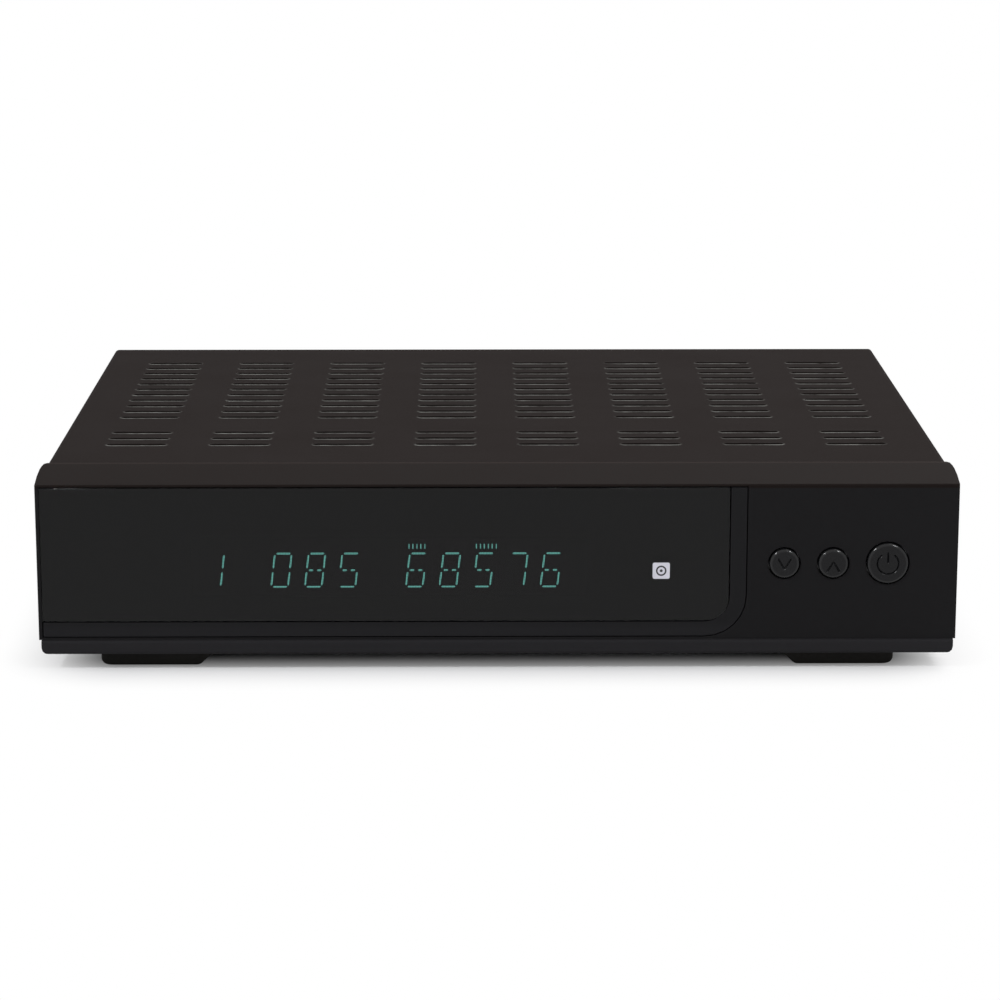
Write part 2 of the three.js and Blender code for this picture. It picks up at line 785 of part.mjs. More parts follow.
function makeCover() {
  const front = at(receiver.panelDepth + gap.seam);
  const back = at(coverBack);
  const bottom = underside + cover.hem;
  const innerRadius = Math.max(cover.bendRadius - cover.sheet, cover.sheet / 4);
  const outside = roundedRect(-coverHalf, coverHalf, bottom, coverTop,
    [0, 0, cover.bendRadius, cover.bendRadius]);
  const inside = roundedRect(-coverInnerHalf, coverInnerHalf, bottom - gap.overrun, coverCeiling,
    [0, 0, innerRadius, innerRadius]);
  const shell = alongY(outside, front, back)
    .subtract(alongY(inside, front - gap.overrun, back + gap.overrun));
  const lipHalf = coverHalf - cover.rearLipInset;
  const lipOutline = roundedRect(-lipHalf, lipHalf, coverTop - cover.rearLip, coverTop - cover.sheet / 2,
    [cover.bendRadius, cover.bendRadius, 0, 0]);
  const rearLip = alongY(lipOutline, back - cover.sheet, back);
  const slots = solidOf(extrude(ventOutlines(), cover.sheet + 2 * gap.overrun)
    .translate(0, 0, coverCeiling - gap.overrun));
  const holeRadius = screw.shankRadius + screw.holeClearance;
  const rearHoles = [-1, 1].map((side) =>
    rodY(holeRadius, back - cover.sheet - gap.overrun, back + gap.overrun, side * coverScrew.rearX,
      coverTop - coverScrew.belowTop, facets.screw));
  const sideHoles = [-1, 1].map((side) => {
    const [x0, x1] = inOrder(side * (coverHalf - 2 * cover.sheet), side * (coverHalf + gap.overrun));
    return rodX(holeRadius, x0, x1, at(coverScrew.sideDepth), coverScrew.sideZ, facets.screw);
  });
  place("top_cover", cut(shell.add(rearLip), [slots, ...rearHoles, ...sideHoles]), finishes.cover);
}

// The rear row: each entry's place follows from the widths before it.
const trayInnerHalf = trayHalf - tray.sheet;
const rearEntries = (() => {
  const entries = {};
  let x = -trayInnerHalf + rearRow.start;
  const take = (name, width, space) => {
    entries[name] = x + width / 2;
    x += width + space;
  };
  take("mainsSwitch", mainsSwitch.width, rearRow.space);
  take("mainsInlet", mainsInlet.width, rearRow.boardSpace + mainBoard.endMargin);
  entries.mainLeft = x - mainBoard.endMargin;
  take("data", data.width, rearRow.space);
  take("network", network.width, rearRow.space);
  take("video", video.width, rearRow.space);
  take("phono", phono.blockWidth, rearRow.space);
  take("av", avSocket.width, rearRow.space);
  take("tuner", tuner.width, 0);
  entries.mainRight = x + mainBoard.endMargin;
  return entries;
})();
const mainTop = boardBase + mainBoard.thickness;
const supplyTop = boardBase + supplyBoard.thickness;
const boardBack = wallInner - mainBoard.rearGap;
const mainFront = boardBack - mainBoard.depth;
const supplyBack = wallInner - mainsInlet.bodyDepth - supplyBoard.rearGap;
const supplyFront = supplyBack - supplyBoard.depth;
const supplyLeft = -trayInnerHalf + rearRow.start;
const supplyRight = rearEntries.mainLeft - rearRow.boardSpace / 2;

function pillarPlaces(x0, x1, front, back) {
  const inset = tray.pillarInset;
  return [
    [x0 + inset, front + inset],
    [x1 - inset, front + inset],
    [x0 + inset, back - inset],
    [x1 - inset, back - inset],
  ];
}
const mainPillars = pillarPlaces(rearEntries.mainLeft, rearEntries.mainRight, mainFront, boardBack);
const supplyPillars = pillarPlaces(supplyLeft, supplyRight, supplyFront, supplyBack);

const footPlaces = [
  { name: "front_left", side: -1, front: foot.setback },
  { name: "front_right", side: 1, front: foot.setback },
  { name: "rear_left", side: -1, front: coverBack - foot.rearSetback - foot.depth },
  { name: "rear_right", side: 1, front: coverBack - foot.rearSetback - foot.depth },
].map((entry) => ({
  ...entry,
  screwX: entry.side * (foot.outerX - foot.width / 2),
  screwDepth: entry.front + foot.screwFromFront,
}));

function makeTray() {
  const front = at(receiver.panelDepth + gap.seam);
  const outer = at(wallOuter);
  const floor = box(-trayHalf, trayHalf, front, outer, underside, floorTop);
  const sideFront = at(receiver.panelDepth + tray.sideSetback);
  const sides = [-1, 1].map((side) => {
    const [x0, x1] = inOrder(side * trayHalf, side * trayInnerHalf);
    return box(x0, x1, sideFront, at(wallInner) - gap.rest, underside, underside + tray.sideLip);
  });
  const wallHalf = trayInnerHalf - panel.tongueWall - gap.seam;
  const frontWall = box(-wallHalf, wallHalf, front, front + tray.sheet, underside,
    underside + tray.frontWall);
  const pillars = [...mainPillars, ...supplyPillars].map(([x, depth]) =>
    rodZ(tray.pillarRadius, floorTop - tray.sheet / 2, boardBase - gap.rest, x, at(depth), facets.screw));
  const solid = joined([floor, ...sides, frontWall, ...pillars]);

  const hole = screw.shankRadius + screw.holeClearance;
  const holes = [
    ...[-1, 1].map((side) => {
      const [x0, x1] = inOrder(side * (trayInnerHalf - gap.overrun), side * (trayHalf + gap.overrun));
      return rodX(hole, x0, x1, at(coverScrew.sideDepth), coverScrew.sideZ, facets.screw);
    }),
    ...footPlaces.map((f) =>
      rodZ(hole, underside - gap.overrun, floorTop + gap.overrun, f.screwX, at(f.screwDepth), facets.screw)),
    ...snapPlaces.map((x) =>
      box(x - snap.width / 2 - gap.cutout, x + snap.width / 2 + gap.cutout, front - gap.overrun,
        front + tray.sheet + gap.overrun, snapBase - gap.seam,
        snapBase + snap.thickness + snap.catch + gap.seam)),
  ];
  const ventRows = [];
  const centreX = (rearEntries.mainLeft + rearEntries.mainRight) / 2;
  const firstRow = mainFront + 2 * tray.pillarInset;
  for (let column = 0; column < tray.floorVentColumns; column++) {
    const x = centreX + (column - (tray.floorVentColumns - 1) / 2) * tray.floorVentColumnPitch;
    for (let row = 0; row < tray.floorVentRows; row++) {
      const y = at(firstRow + row * tray.floorVentPitch);
      const reach = tray.floorVentLength / 2;
      ventRows.push(rect(x - reach, x + reach, y, y + tray.floorVentWidth));
    }
  }
  const floorVents = solidOf(extrude(ventRows, tray.sheet + 2 * gap.overrun)
    .translate(0, 0, underside - gap.overrun));
  place("chassis_tray", cut(solid, [...holes, floorVents]), finishes.steel);
}

// The rear panel stands on the tray's floor, with a flange at its foot and one under the cover.
function makeRearPanel() {
  const outer = at(wallOuter);
  const base = floorTop + gap.rest;
  const top = coverCeiling - gap.seam;
  const plate = alongY(roundedRect(-trayHalf, trayHalf, base, top, [0, 0, tray.bendRadius, tray.bendRadius]),
    at(wallInner), outer);
  const flange = (depth, z0) => box(-trayInnerHalf, trayInnerHalf, at(wallInner - depth), outer, z0,
    z0 + rearPanel.sheet);
  const solid = joined([plate, flange(rearPanel.topFlange, top - rearPanel.sheet),
    flange(rearPanel.bottomFlange, base)]);

  const through = (points) => alongY(points, at(wallInner) - gap.overrun, outer + gap.overrun);
  const opening = (x, width, z0, height) =>
    through(rect(x - width / 2 - gap.cutout, x + width / 2 + gap.cutout, z0 - gap.cutout,
      z0 + height + gap.cutout));
  const hole = screw.shankRadius + screw.holeClearance;
  const cutouts = [
    opening(rearEntries.mainsSwitch, mainsSwitch.bodyWidth, mainsSwitch.z - mainsSwitch.bodyHeight / 2,
      mainsSwitch.bodyHeight),
    opening(rearEntries.mainsInlet, mainsInlet.bodyWidth, mainsInlet.z - mainsInlet.bodyHeight / 2,
      mainsInlet.bodyHeight),
    opening(rearEntries.data, data.width, mainTop, data.height),
    opening(rearEntries.network, network.width, mainTop, network.height),
    opening(rearEntries.video, video.width, mainTop, video.height),
    opening(rearEntries.av, avSocket.width, mainTop, avSocket.height),
    ...phonoPlaces().map(([x, z]) =>
      rodY(phono.ringRadius + gap.cutout, at(wallInner) - gap.overrun, outer + gap.overrun, x, z,
        facets.turned)),
    ...aerialPlaces().map((x) =>
      rodY(aerial.radius + gap.cutout, at(wallInner) - gap.overrun, outer + gap.overrun, x,
        mainTop + tuner.height / 2, facets.turned)),
    ...[-1, 1].map((side) =>
      rodY(hole, at(wallInner) - gap.overrun, outer + gap.overrun, side * coverScrew.rearX,
        coverTop - coverScrew.belowTop, facets.screw)),
  ];
  place("rear_panel", cut(solid, cutouts), finishes.steel);
}

function makeScrew(name, turn, x, y, z) {
  const domeHeight = screw.headHeight * screw.domeShare;
  const dome = arc(0, 0, screw.headRadius, 0, 90, facets.corner).map(([r, level]) =>
    [r, screw.headHeight - domeHeight + (level * domeHeight) / screw.headRadius]);
  const profile = [
    [0, -screw.length],
    [screw.shankRadius, -screw.length],
    [screw.shankRadius, 0],
    [screw.headRadius, 0],
    ...dome.slice(0, -1),
    [0, screw.headHeight],
  ];
  const geometry = turned(profile, facets.screw).applyMatrix4(turn).translate(x, y, z);
  place(name, solidOf(geometry), finishes.screw);
}

function makeFeetAndScrews() {
  const down = new THREE.Matrix4().makeRotationX(-Math.PI / 2);
  const top = underside - gap.rest;
  for (const f of footPlaces) {
    const outer = f.side * foot.outerX;
    const inner = f.side * (foot.outerX - foot.width);
    const innerLow = inner + f.side * foot.slant;
    const corner = f.side < 0
      ? arc(outer + foot.cornerRadius, foot.cornerRadius, foot.cornerRadius, 180, 270, facets.corner)
      : arc(outer - foot.cornerRadius, foot.cornerRadius, foot.cornerRadius, 0, -90, facets.corner);
    const profile = [[outer, top], ...corner, [innerLow, 0], [inner, top]];
    const [x0, x1] = inOrder(outer, inner);
    const plan = roundedRect(x0, x1, at(f.front), at(f.front + foot.depth), foot.planRadius);
    const recess = rodZ(foot.recessRadius, -gap.overrun, foot.recessDepth, f.screwX, at(f.screwDepth),
      facets.turned);
    const shaft = rodZ(screw.shankRadius + screw.holeClearance, 0, top + gap.overrun, f.screwX,
      at(f.screwDepth), facets.screw);
    const body = alongY(profile, at(f.front), at(f.front + foot.depth))
      .intersect(alongZ(plan, -gap.overrun, underside + gap.overrun));
    place(`foot_${f.name}`, cut(body, [recess, shaft]), finishes.foot);
    makeScrew(`foot_screw_${f.name}`, down, f.screwX, at(f.screwDepth), foot.recessDepth - gap.rest);
  }
  const rearward = new THREE.Matrix4();
  const screwZ = coverTop - coverScrew.belowTop;
  makeScrew("cover_screw_rear_left", rearward, -coverScrew.rearX, at(coverBack) + gap.rest, screwZ);
  makeScrew("cover_screw_rear_right", rearward, coverScrew.rearX, at(coverBack) + gap.rest, screwZ);
  const leftward = new THREE.Matrix4().makeRotationZ(Math.PI / 2);
  const rightward = new THREE.Matrix4().makeRotationZ(-Math.PI / 2);
  const sideY = at(coverScrew.sideDepth);
  makeScrew("cover_screw_left", leftward, -coverHalf - gap.rest, sideY, coverScrew.sideZ);
  makeScrew("cover_screw_right", rightward, coverHalf + gap.rest, sideY, coverScrew.sideZ);
}

function makeBoards() {
  const plate = (x0, x1, front, back, z0, z1, radius) =>
    alongZ(roundedRect(x0, x1, at(front), at(back), radius), z0, z1);
  place("main_board", plate(rearEntries.mainLeft, rearEntries.mainRight, mainFront, boardBack, boardBase,
    mainTop, mainBoard.cornerRadius), finishes.board);
  place("power_supply_board", plate(supplyLeft, supplyRight, supplyFront, supplyBack, boardBase, supplyTop,
    supplyBoard.cornerRadius), finishes.board);
  const sheetBase = floorTop + gap.rest;
  const sheet = plate(supplyLeft - insulator.margin, supplyRight + insulator.margin,
    supplyFront - insulator.margin, supplyBack + insulator.margin, sheetBase, sheetBase + insulator.thickness,
    supplyBoard.cornerRadius);
  const throughSheet = (radius, x, depth) => rodZ(radius, floorTop - gap.overrun, boardBase, x, at(depth),
    facets.screw);
  const holes = supplyPillars.map(([x, depth]) =>
    throughSheet(tray.pillarRadius + insulator.pillarClearance, x, depth));
  const screwHoles = footPlaces.map((f) =>
    throughSheet(screw.shankRadius + insulator.screwClearance, f.screwX, f.screwDepth));
  place("insulating_sheet", cut(sheet, [...holes, ...screwHoles]), finishes.insulator);
}

function makeMainBoardParts() {
  const chipX = (rearEntries.phono + rearEntries.av) / 2;
  const chipY = at(boardBack - processor.fromRear);
  const chipBase = mainTop + gap.rest;
  const chipTop = chipBase + processor.thickness;
  const half = processor.side / 2;
  place("processor_chip", box(chipX - half, chipX + half, chipY - half, chipY + half, chipBase, chipTop),
    finishes.chip);

  const sinkHalf = heatSink.side / 2;
  const sinkBase = chipTop + gap.rest;
  const sinkPlate = box(chipX - sinkHalf, chipX + sinkHalf, chipY - sinkHalf, chipY + sinkHalf, sinkBase,
    sinkBase + heatSink.base);
  const finPitch = (heatSink.side - heatSink.finThickness) / (heatSink.fins - 1);
  const fins = Array.from({ length: heatSink.fins }, (_, i) => {
    const x = chipX - sinkHalf + i * finPitch;
    return box(x, x + heatSink.finThickness, chipY - sinkHalf, chipY + sinkHalf, sinkBase + heatSink.base / 2,
      sinkBase + heatSink.height);
  });
  place("processor_heat_sink", joined([sinkPlate, ...fins]), finishes.aluminium);

  const memoryX = chipX + sinkHalf + memory.space + memory.width / 2;
  place("memory_chip", box(memoryX - memory.width / 2, memoryX + memory.width / 2, chipY - memory.depth / 2,
    chipY + memory.depth / 2, chipBase, chipBase + memory.thickness), finishes.chip);
}

function aerialPlaces() {
  return [rearEntries.tuner - aerial.spacing / 2, rearEntries.tuner + aerial.spacing / 2];
}

function makeTuner() {
  const back = wallInner - gap.seam - aerial.collarLength;
  const x0 = rearEntries.tuner - tuner.width / 2;
  const x1 = rearEntries.tuner + tuner.width / 2;
  const base = mainTop + gap.rest;
  const top = base + tuner.height - tuner.lidThickness;
  const can = box(x0, x1, at(back - tuner.depth), at(back), base, top);
  const lid = box(x0 + tuner.lidInset, x1 - tuner.lidInset, at(back - tuner.depth) + tuner.lidInset,
    at(back) - tuner.lidInset, top - tuner.lidThickness, top + tuner.lidThickness);
  place("tuner_can", can.add(lid), finishes.tinned);

  const mouth = at(wallOuter + aerial.reach);
  const z = mainTop + tuner.height / 2;
  const names = ["aerial_socket_out", "aerial_socket_in"];
  aerialPlaces().forEach((x, i) => {
    const profile = [
      [0, at(back) + gap.rest],
      [aerial.collarRadius, at(back) + gap.rest],
      [aerial.collarRadius, at(back + aerial.collarLength)],
      [aerial.radius, at(back + aerial.collarLength)],
      [aerial.radius, mouth - gap.seam],
      [aerial.radius - gap.seam, mouth],
      [aerial.boreRadius, mouth],
      [aerial.boreRadius, mouth - aerial.boreDepth],
      [aerial.pinHoleRadius, mouth - aerial.boreDepth],
      [aerial.pinHoleRadius, mouth - aerial.pinHoleDepth],
      [0, mouth - aerial.pinHoleDepth],
    ];
    place(names[i], turnedY(profile, x, z), finishes.nickel);
  });
}

// The 21-pin mouth: a rectangle with one upper corner cut on the slant.
function avOutline(x, z, width, height, slant) {
  const x0 = x - width / 2;
  const x1 = x + width / 2;
  const z0 = z - height / 2;
  const z1 = z + height / 2;
  return [[x0, z0], [x1, z0], [x1, z1 - slant], [x1 - slant, z1], [x0, z1]];
}

function makeAvSocket() {
  const x = rearEntries.av;
  const base = mainTop + gap.rest;
  const z = base + avSocket.height / 2;
  const mouth = at(wallOuter + rearRow.proud);
  const floor = mouth - avSocket.mouthDepth;
  const body = box(x - avSocket.width / 2, x + avSocket.width / 2, mouth - avSocket.depth, mouth, base,
    base + avSocket.height - gap.rest);
  const inner = avOutline(x, z, avSocket.mouthWidth - 2 * avSocket.ring,
    avSocket.mouthHeight - 2 * avSocket.ring, avSocket.mouthSlant - avSocket.ring / 2);
  const groove = alongY(avOutline(x, z, avSocket.mouthWidth, avSocket.mouthHeight, avSocket.mouthSlant),
    floor, mouth + gap.overrun)
    .subtract(alongY(inner, floor - gap.overrun, mouth + 2 * gap.overrun));
  const contacts = [];
  for (const row of [-1, 1]) {
    for (let i = 0; i < avSocket.contactsPerRow; i++) {
      const shift = (i - (avSocket.contactsPerRow - 1) / 2) * avSocket.contactPitch;
      const cx = x + shift - (row > 0 ? avSocket.contactPitch / 2 : 0);
      const cz = z + (row * avSocket.rowSpacing) / 2;
      contacts.push(rect(cx - avSocket.contactWidth / 2, cx + avSocket.contactWidth / 2,
        cz - avSocket.contactHeight / 2, cz + avSocket.contactHeight / 2));
    }
  }
  const slots = solidOf(extrude(contacts, avSocket.contactDepth + gap.overrun).applyMatrix4(upright)
    .translate(0, mouth + gap.overrun, 0));
  place("av_socket_21_pin", cut(body, [groove, slots]), finishes.blackPlastic);
}

function phonoPlaces() {
  const z0 = mainTop + gap.rest + (phono.blockHeight - phono.pitchZ) / 2;
  const places = [];
  for (const row of [0, 1]) {
    for (const side of [-1, 1]) {
      places.push([rearEntries.phono + (side * phono.pitchX) / 2, z0 + row * phono.pitchZ]);
    }
  }
  return places;
}

function makePhonoSockets() {
  const x = rearEntries.phono;
  const face = wallInner - gap.seam;
  const base = mainTop + gap.rest;
  const seat = face - phono.seatDepth;
  const block = box(x - phono.blockWidth / 2, x + phono.blockWidth / 2, at(face - phono.blockDepth),
    at(face), base, base + phono.blockHeight);
  const seats = phonoPlaces().map(([px, pz]) =>
    rodY(phono.sleeveRadius + gap.seam, at(seat), at(face) + gap.overrun, px, pz, facets.turned));
  place("phono_socket_block", cut(block, seats), finishes.blackPlastic);
  const looks = [
    ["phono_socket_right", finishes.red],
    ["phono_socket_left", finishes.white],
    ["digital_audio_socket", finishes.orange],
    ["phono_socket_picture", finishes.yellow],
  ];
  const mouth = at(wallOuter + phono.reach);
  const ringEnd = at(wallOuter + phono.ringLength);
  phonoPlaces().forEach(([px, pz], i) => {
    const profile = [
      [0, at(seat) + gap.rest],
      [phono.sleeveRadius, at(seat) + gap.rest],
      [phono.sleeveRadius, at(face) + gap.rest],
      [phono.ringRadius, at(face) + gap.rest],
      [phono.ringRadius, ringEnd],
      [phono.sleeveRadius, ringEnd],
      [phono.sleeveRadius, mouth],
      [phono.pinHoleRadius, mouth],
      [phono.pinHoleRadius, mouth - phono.pinHoleDepth],
      [0, mouth - phono.pinHoleDepth],
    ];
    place(looks[i][0], turnedY(profile, px, pz), looks[i][1]);
  });
}

function makeSmallSockets() {
  const base = mainTop + gap.rest;
  const mouth = at(wallOuter + rearRow.proud);
  const past = mouth + gap.overrun;

  const vx = rearEntries.video;
  const vz = base + video.height / 2;
  const slanted = (width, height, slant) => [
    [vx - width / 2 + slant, vz - height / 2],
    [vx + width / 2 - slant, vz - height / 2],
    [vx + width / 2, vz - height / 2 + slant],
    [vx + width / 2, vz + height / 2],
    [vx - width / 2, vz + height / 2],
    [vx - width / 2, vz - height / 2 + slant],
  ];
  const tongue = box(vx - video.tongueWidth / 2, vx + video.tongueWidth / 2,
    mouth - video.mouthDepth - gap.overrun, mouth - gap.overrun,
    vz - video.tongueThickness / 2, vz + video.tongueThickness / 2);
  const shell = alongY(slanted(video.width, video.height - gap.rest, video.mouthSlant),
    mouth - video.depth, mouth)
    .subtract(alongY(slanted(video.mouthWidth, video.mouthHeight, video.mouthSlant),
      mouth - video.mouthDepth, past));
  place("digital_video_socket", shell.add(tongue), finishes.nickel);

  const nx = rearEntries.network;
  const nBase = base + network.mouthBase;
  const jack = box(nx - network.width / 2, nx + network.width / 2, mouth - network.depth, mouth, base,
    base + network.height - gap.rest);
  const cavity = box(nx - network.mouthWidth / 2, nx + network.mouthWidth / 2, mouth - network.mouthDepth,
    past, nBase, nBase + network.mouthHeight);
  const latch = box(nx - network.latchWidth / 2, nx + network.latchWidth / 2, mouth - network.mouthDepth,
    past, nBase - network.latchHeight, nBase + network.mouthHeight / 2);
  place("network_socket", cut(jack, [cavity, latch]), finishes.tinned);

  const dx = rearEntries.data;
  const can = box(dx - data.width / 2, dx + data.width / 2, mouth - data.depth, mouth, base,
    base + data.height - gap.rest);
  const hollow = box(dx - data.width / 2 + data.wall, dx + data.width / 2 - data.wall,
    mouth - data.mouthDepth, past, base + data.wall, base + data.height - gap.rest - data.wall);
  const tongueTop = base + data.height - gap.rest - data.wall - data.tongueDrop;
  const plate = box(dx - data.tongueWidth / 2, dx + data.tongueWidth / 2,
    mouth - data.mouthDepth - gap.overrun, mouth - gap.overrun, tongueTop - data.tongueThickness, tongueTop);
  place("data_socket", can.subtract(hollow).add(plate), finishes.nickel);
}

// A flat blade behind a mains piece, for a wire to meet.
function terminalTab(x, back, z) {
  return box(x - terminal.width / 2, x + terminal.width / 2, back - terminal.length, back + gap.overrun,
    z - terminal.thickness / 2, z + terminal.thickness / 2);
}

function makeMainsInlet() {
  const x = rearEntries.mainsInlet;
  const z = mainsInlet.z;
  const seat = at(wallOuter) + gap.rest;
  const face = seat + mainsInlet.flange;
  const flange = alongY(roundedRect(x - mainsInlet.width / 2, x + mainsInlet.width / 2,
    z - mainsInlet.height / 2, z + mainsInlet.height / 2, mainsInlet.flange), seat, face);
  const body = alongY(rect(x - mainsInlet.bodyWidth / 2, x + mainsInlet.bodyWidth / 2,
    z - mainsInlet.bodyHeight / 2, z + mainsInlet.bodyHeight / 2), face - mainsInlet.bodyDepth,
      seat + gap.rest);
  const reach = mainsInlet.pinSpacing / 2;
  const floor = face - mainsInlet.mouthDepth;
  const lobes = [-1, 1].map((side) =>
    rodY(mainsInlet.lobeRadius, floor, face + gap.overrun, x + side * reach, z, facets.turned));
  const waist = box(x - reach, x + reach, floor, face + gap.overrun,
    z - mainsInlet.lobeRadius * mainsInlet.waistShare, z + mainsInlet.lobeRadius * mainsInlet.waistShare);
  const pins = [-1, 1].map((side) =>
    rodY(mainsInlet.pinRadius, floor - mainsInlet.flange / 2, floor + mainsInlet.pinLength,
      x + side * reach, z, facets.screw));
  const tabs = [-1, 1].map((side) =>
    terminalTab(x + side * reach, face - mainsInlet.bodyDepth, z));
  place("mains_inlet", joined([cut(flange.add(body), [...lobes, waist]), ...pins, ...tabs]),
    finishes.blackPlastic);
}

// The rocker swings about a pin across the housing's mouth. Its ends follow a circle about that pin.
function makeMainsSwitch() {
  const x = rearEntries.mainsSwitch;
  const z = mainsSwitch.z;
  const seat = at(wallOuter) + gap.rest;
  const face = seat + mainsSwitch.bezel;
  const pivotY = face - rocker.pivotDepth;
  const bezel = alongY(roundedRect(x - mainsSwitch.width / 2, x + mainsSwitch.width / 2,
    z - mainsSwitch.height / 2, z + mainsSwitch.height / 2, mainsSwitch.bezel / 2), seat, face);
  const body = alongY(rect(x - mainsSwitch.bodyWidth / 2, x + mainsSwitch.bodyWidth / 2,
    z - mainsSwitch.bodyHeight / 2, z + mainsSwitch.bodyHeight / 2), face - mainsSwitch.bodyDepth,
      seat + gap.rest);
  const mouthHalf = rocker.radius + gap.seam;
  const mouth = box(x - mainsSwitch.mouthWidth / 2, x + mainsSwitch.mouthWidth / 2,
    face - mainsSwitch.mouthDepth, face + gap.overrun, z - mouthHalf, z + mouthHalf);
  const pinEnd = rocker.width / 2 + rocker.pivotLength;
  const pinHole = rodX(rocker.pivotRadius + rocker.pivotClearance, x - pinEnd - gap.rest,
    x + pinEnd + gap.rest, pivotY, z, facets.turned);
  const tabs = [-1, 1].map((side) =>
    terminalTab(x, face - mainsSwitch.bodyDepth, z + (side * terminal.switchSpacing) / 2));
  place("mains_switch_housing", joined([cut(bezel.add(body), [mouth, pinHole]), ...tabs]),
    finishes.blackPlastic);

  const crest = rocker.radius * rocker.crestShare;
  const valley = rocker.radius * rocker.valleyShare;
  const endAngle = THREE.MathUtils.radToDeg(Math.asin(crest / rocker.radius));
  const lowAngle = THREE.MathUtils.radToDeg(Math.asin(rocker.floorDepth / rocker.radius));
  const outline = [
    ...arc(0, 0, rocker.radius, 90 - endAngle, 90 + lowAngle, facets.corner),
    ...arc(0, 0, rocker.radius, 270 - lowAngle, 270 + endAngle, facets.corner),
    [valley, 0],
  ];
  const paddle = alongX(outline, x - rocker.width / 2, x + rocker.width / 2)
    .add(rodX(rocker.pivotRadius, x - pinEnd, x + pinEnd, 0, 0, facets.turned));
  const tilted = paddle.rotate([rocker.tiltDeg, 0, 0]).translate([0, pivotY, z]);
  place("mains_switch_rocker", tilted, finishes.cap);
}

function makeSupplyParts() {
  const base = supplyTop + gap.rest;
  const left = supplyLeft;
  const right = supplyRight;
  const middle = (left + right) / 2;
  const up = (fromRear) => at(supplyBack - fromRear + mainsInlet.bodyDepth);

  const ty = up(transformer.fromRear);
  const tz = base + transformer.height / 2;
  const yokes = [-1, 1].map((side) => {
    const y0 = ty + side * (transformer.depth / 2 - transformer.yoke / 2);
    return box(middle - transformer.coreWidth / 2, middle + transformer.coreWidth / 2,
      y0 - transformer.yoke / 2, y0 + transformer.yoke / 2, base, base + transformer.height);
  });
  const legs = [-1, 1].map((side) => {
    const z0 = tz + side * (transformer.height / 2 - transformer.legDepth / 2);
    return box(middle - transformer.coreWidth / 2, middle + transformer.coreWidth / 2,
      ty - transformer.depth / 2, ty + transformer.depth / 2,
      z0 - transformer.legDepth / 2, z0 + transformer.legDepth / 2);
  });
  const windingHalf = transformer.depth / 2 - transformer.yoke + gap.rest;
  const winding = alongY(roundedRect(middle - transformer.width / 2, middle + transformer.width / 2,
    base + transformer.legDepth / 2, base + transformer.height - transformer.legDepth / 2,
    transformer.legDepth / 2), ty - windingHalf, ty + windingHalf);
  place("transformer", joined([...yokes, ...legs, winding]), finishes.tape);

  const can = (radius, height, rim, x, y) => turnedZ([
    [0, base],
    [radius, base],
    [radius, base + height - rim],
    [radius - rim, base + height],
    [0, base + height],
  ], x, y);
  place("mains_capacitor", can(mainsCapacitor.radius, mainsCapacitor.height, mainsCapacitor.rimRadius,
    left + tray.pillarInset + mainsCapacitor.radius, up(mainsCapacitor.fromRear)), finishes.sleeve);
  place("output_capacitor", can(outputCapacitor.radius, outputCapacitor.height, outputCapacitor.rimRadius,
    right - tray.pillarInset - outputCapacitor.radius, up(outputCapacitor.fromRear)), finishes.sleeve);

  const sy = up(supplySink.fromRear);
  const back = box(middle - supplySink.width / 2, middle + supplySink.width / 2, sy,
    sy + supplySink.thickness, base, base + supplySink.height);
  const ribPitch = (supplySink.width - supplySink.ribThickness) / (supplySink.ribs - 1);
  const ribs = Array.from({ length: supplySink.ribs }, (_, i) => {
    const x = middle - supplySink.width / 2 + i * ribPitch;
    return box(x, x + supplySink.ribThickness, sy - supplySink.ribDepth, sy + supplySink.thickness / 2, base,
      base + supplySink.height);
  });
  place("supply_heat_sink", joined([back, ...ribs]), finishes.aluminium);

  const fx = left + tray.pillarInset + fuse.radius;
  const fy = up(fuse.fromRear);
  const capRadius = fuse.radius + fuse.capGrowth;
  const fz = base + fuse.rise + capRadius;
  const y0 = fy - fuse.length / 2;
  const y1 = fy + fuse.length / 2;
  const tube = turnedY([
    [0, y0],
    [capRadius, y0],
    [capRadius, y0 + fuse.capLength],
    [fuse.radius, y0 + fuse.capLength],
    [fuse.radius, y1 - fuse.capLength],
    [capRadius, y1 - fuse.capLength],
    [capRadius, y1],
    [0, y1],
  ], fx, fz, facets.screw);
  const clips = [y0 + fuse.capLength / 2, y1 - fuse.capLength / 2].map((y) =>
    box(fx - capRadius / 2, fx + capRadius / 2, y - fuse.clipWidth / 2, y + fuse.clipWidth / 2, base, fz));
  place("fuse", joined([tube, ...clips]), finishes.fuseGlass);
}

// A flat lead between two levels: its middle line drawn as (run, rise), thickened above and below.
function flatLead(middle, thickness) {
  const above = middle.map(([run, rise]) => [run, rise + thickness / 2]);
  const below = middle.map(([run, rise]) => [run, rise - thickness / 2]);
  return [...below, ...above.reverse()];
}

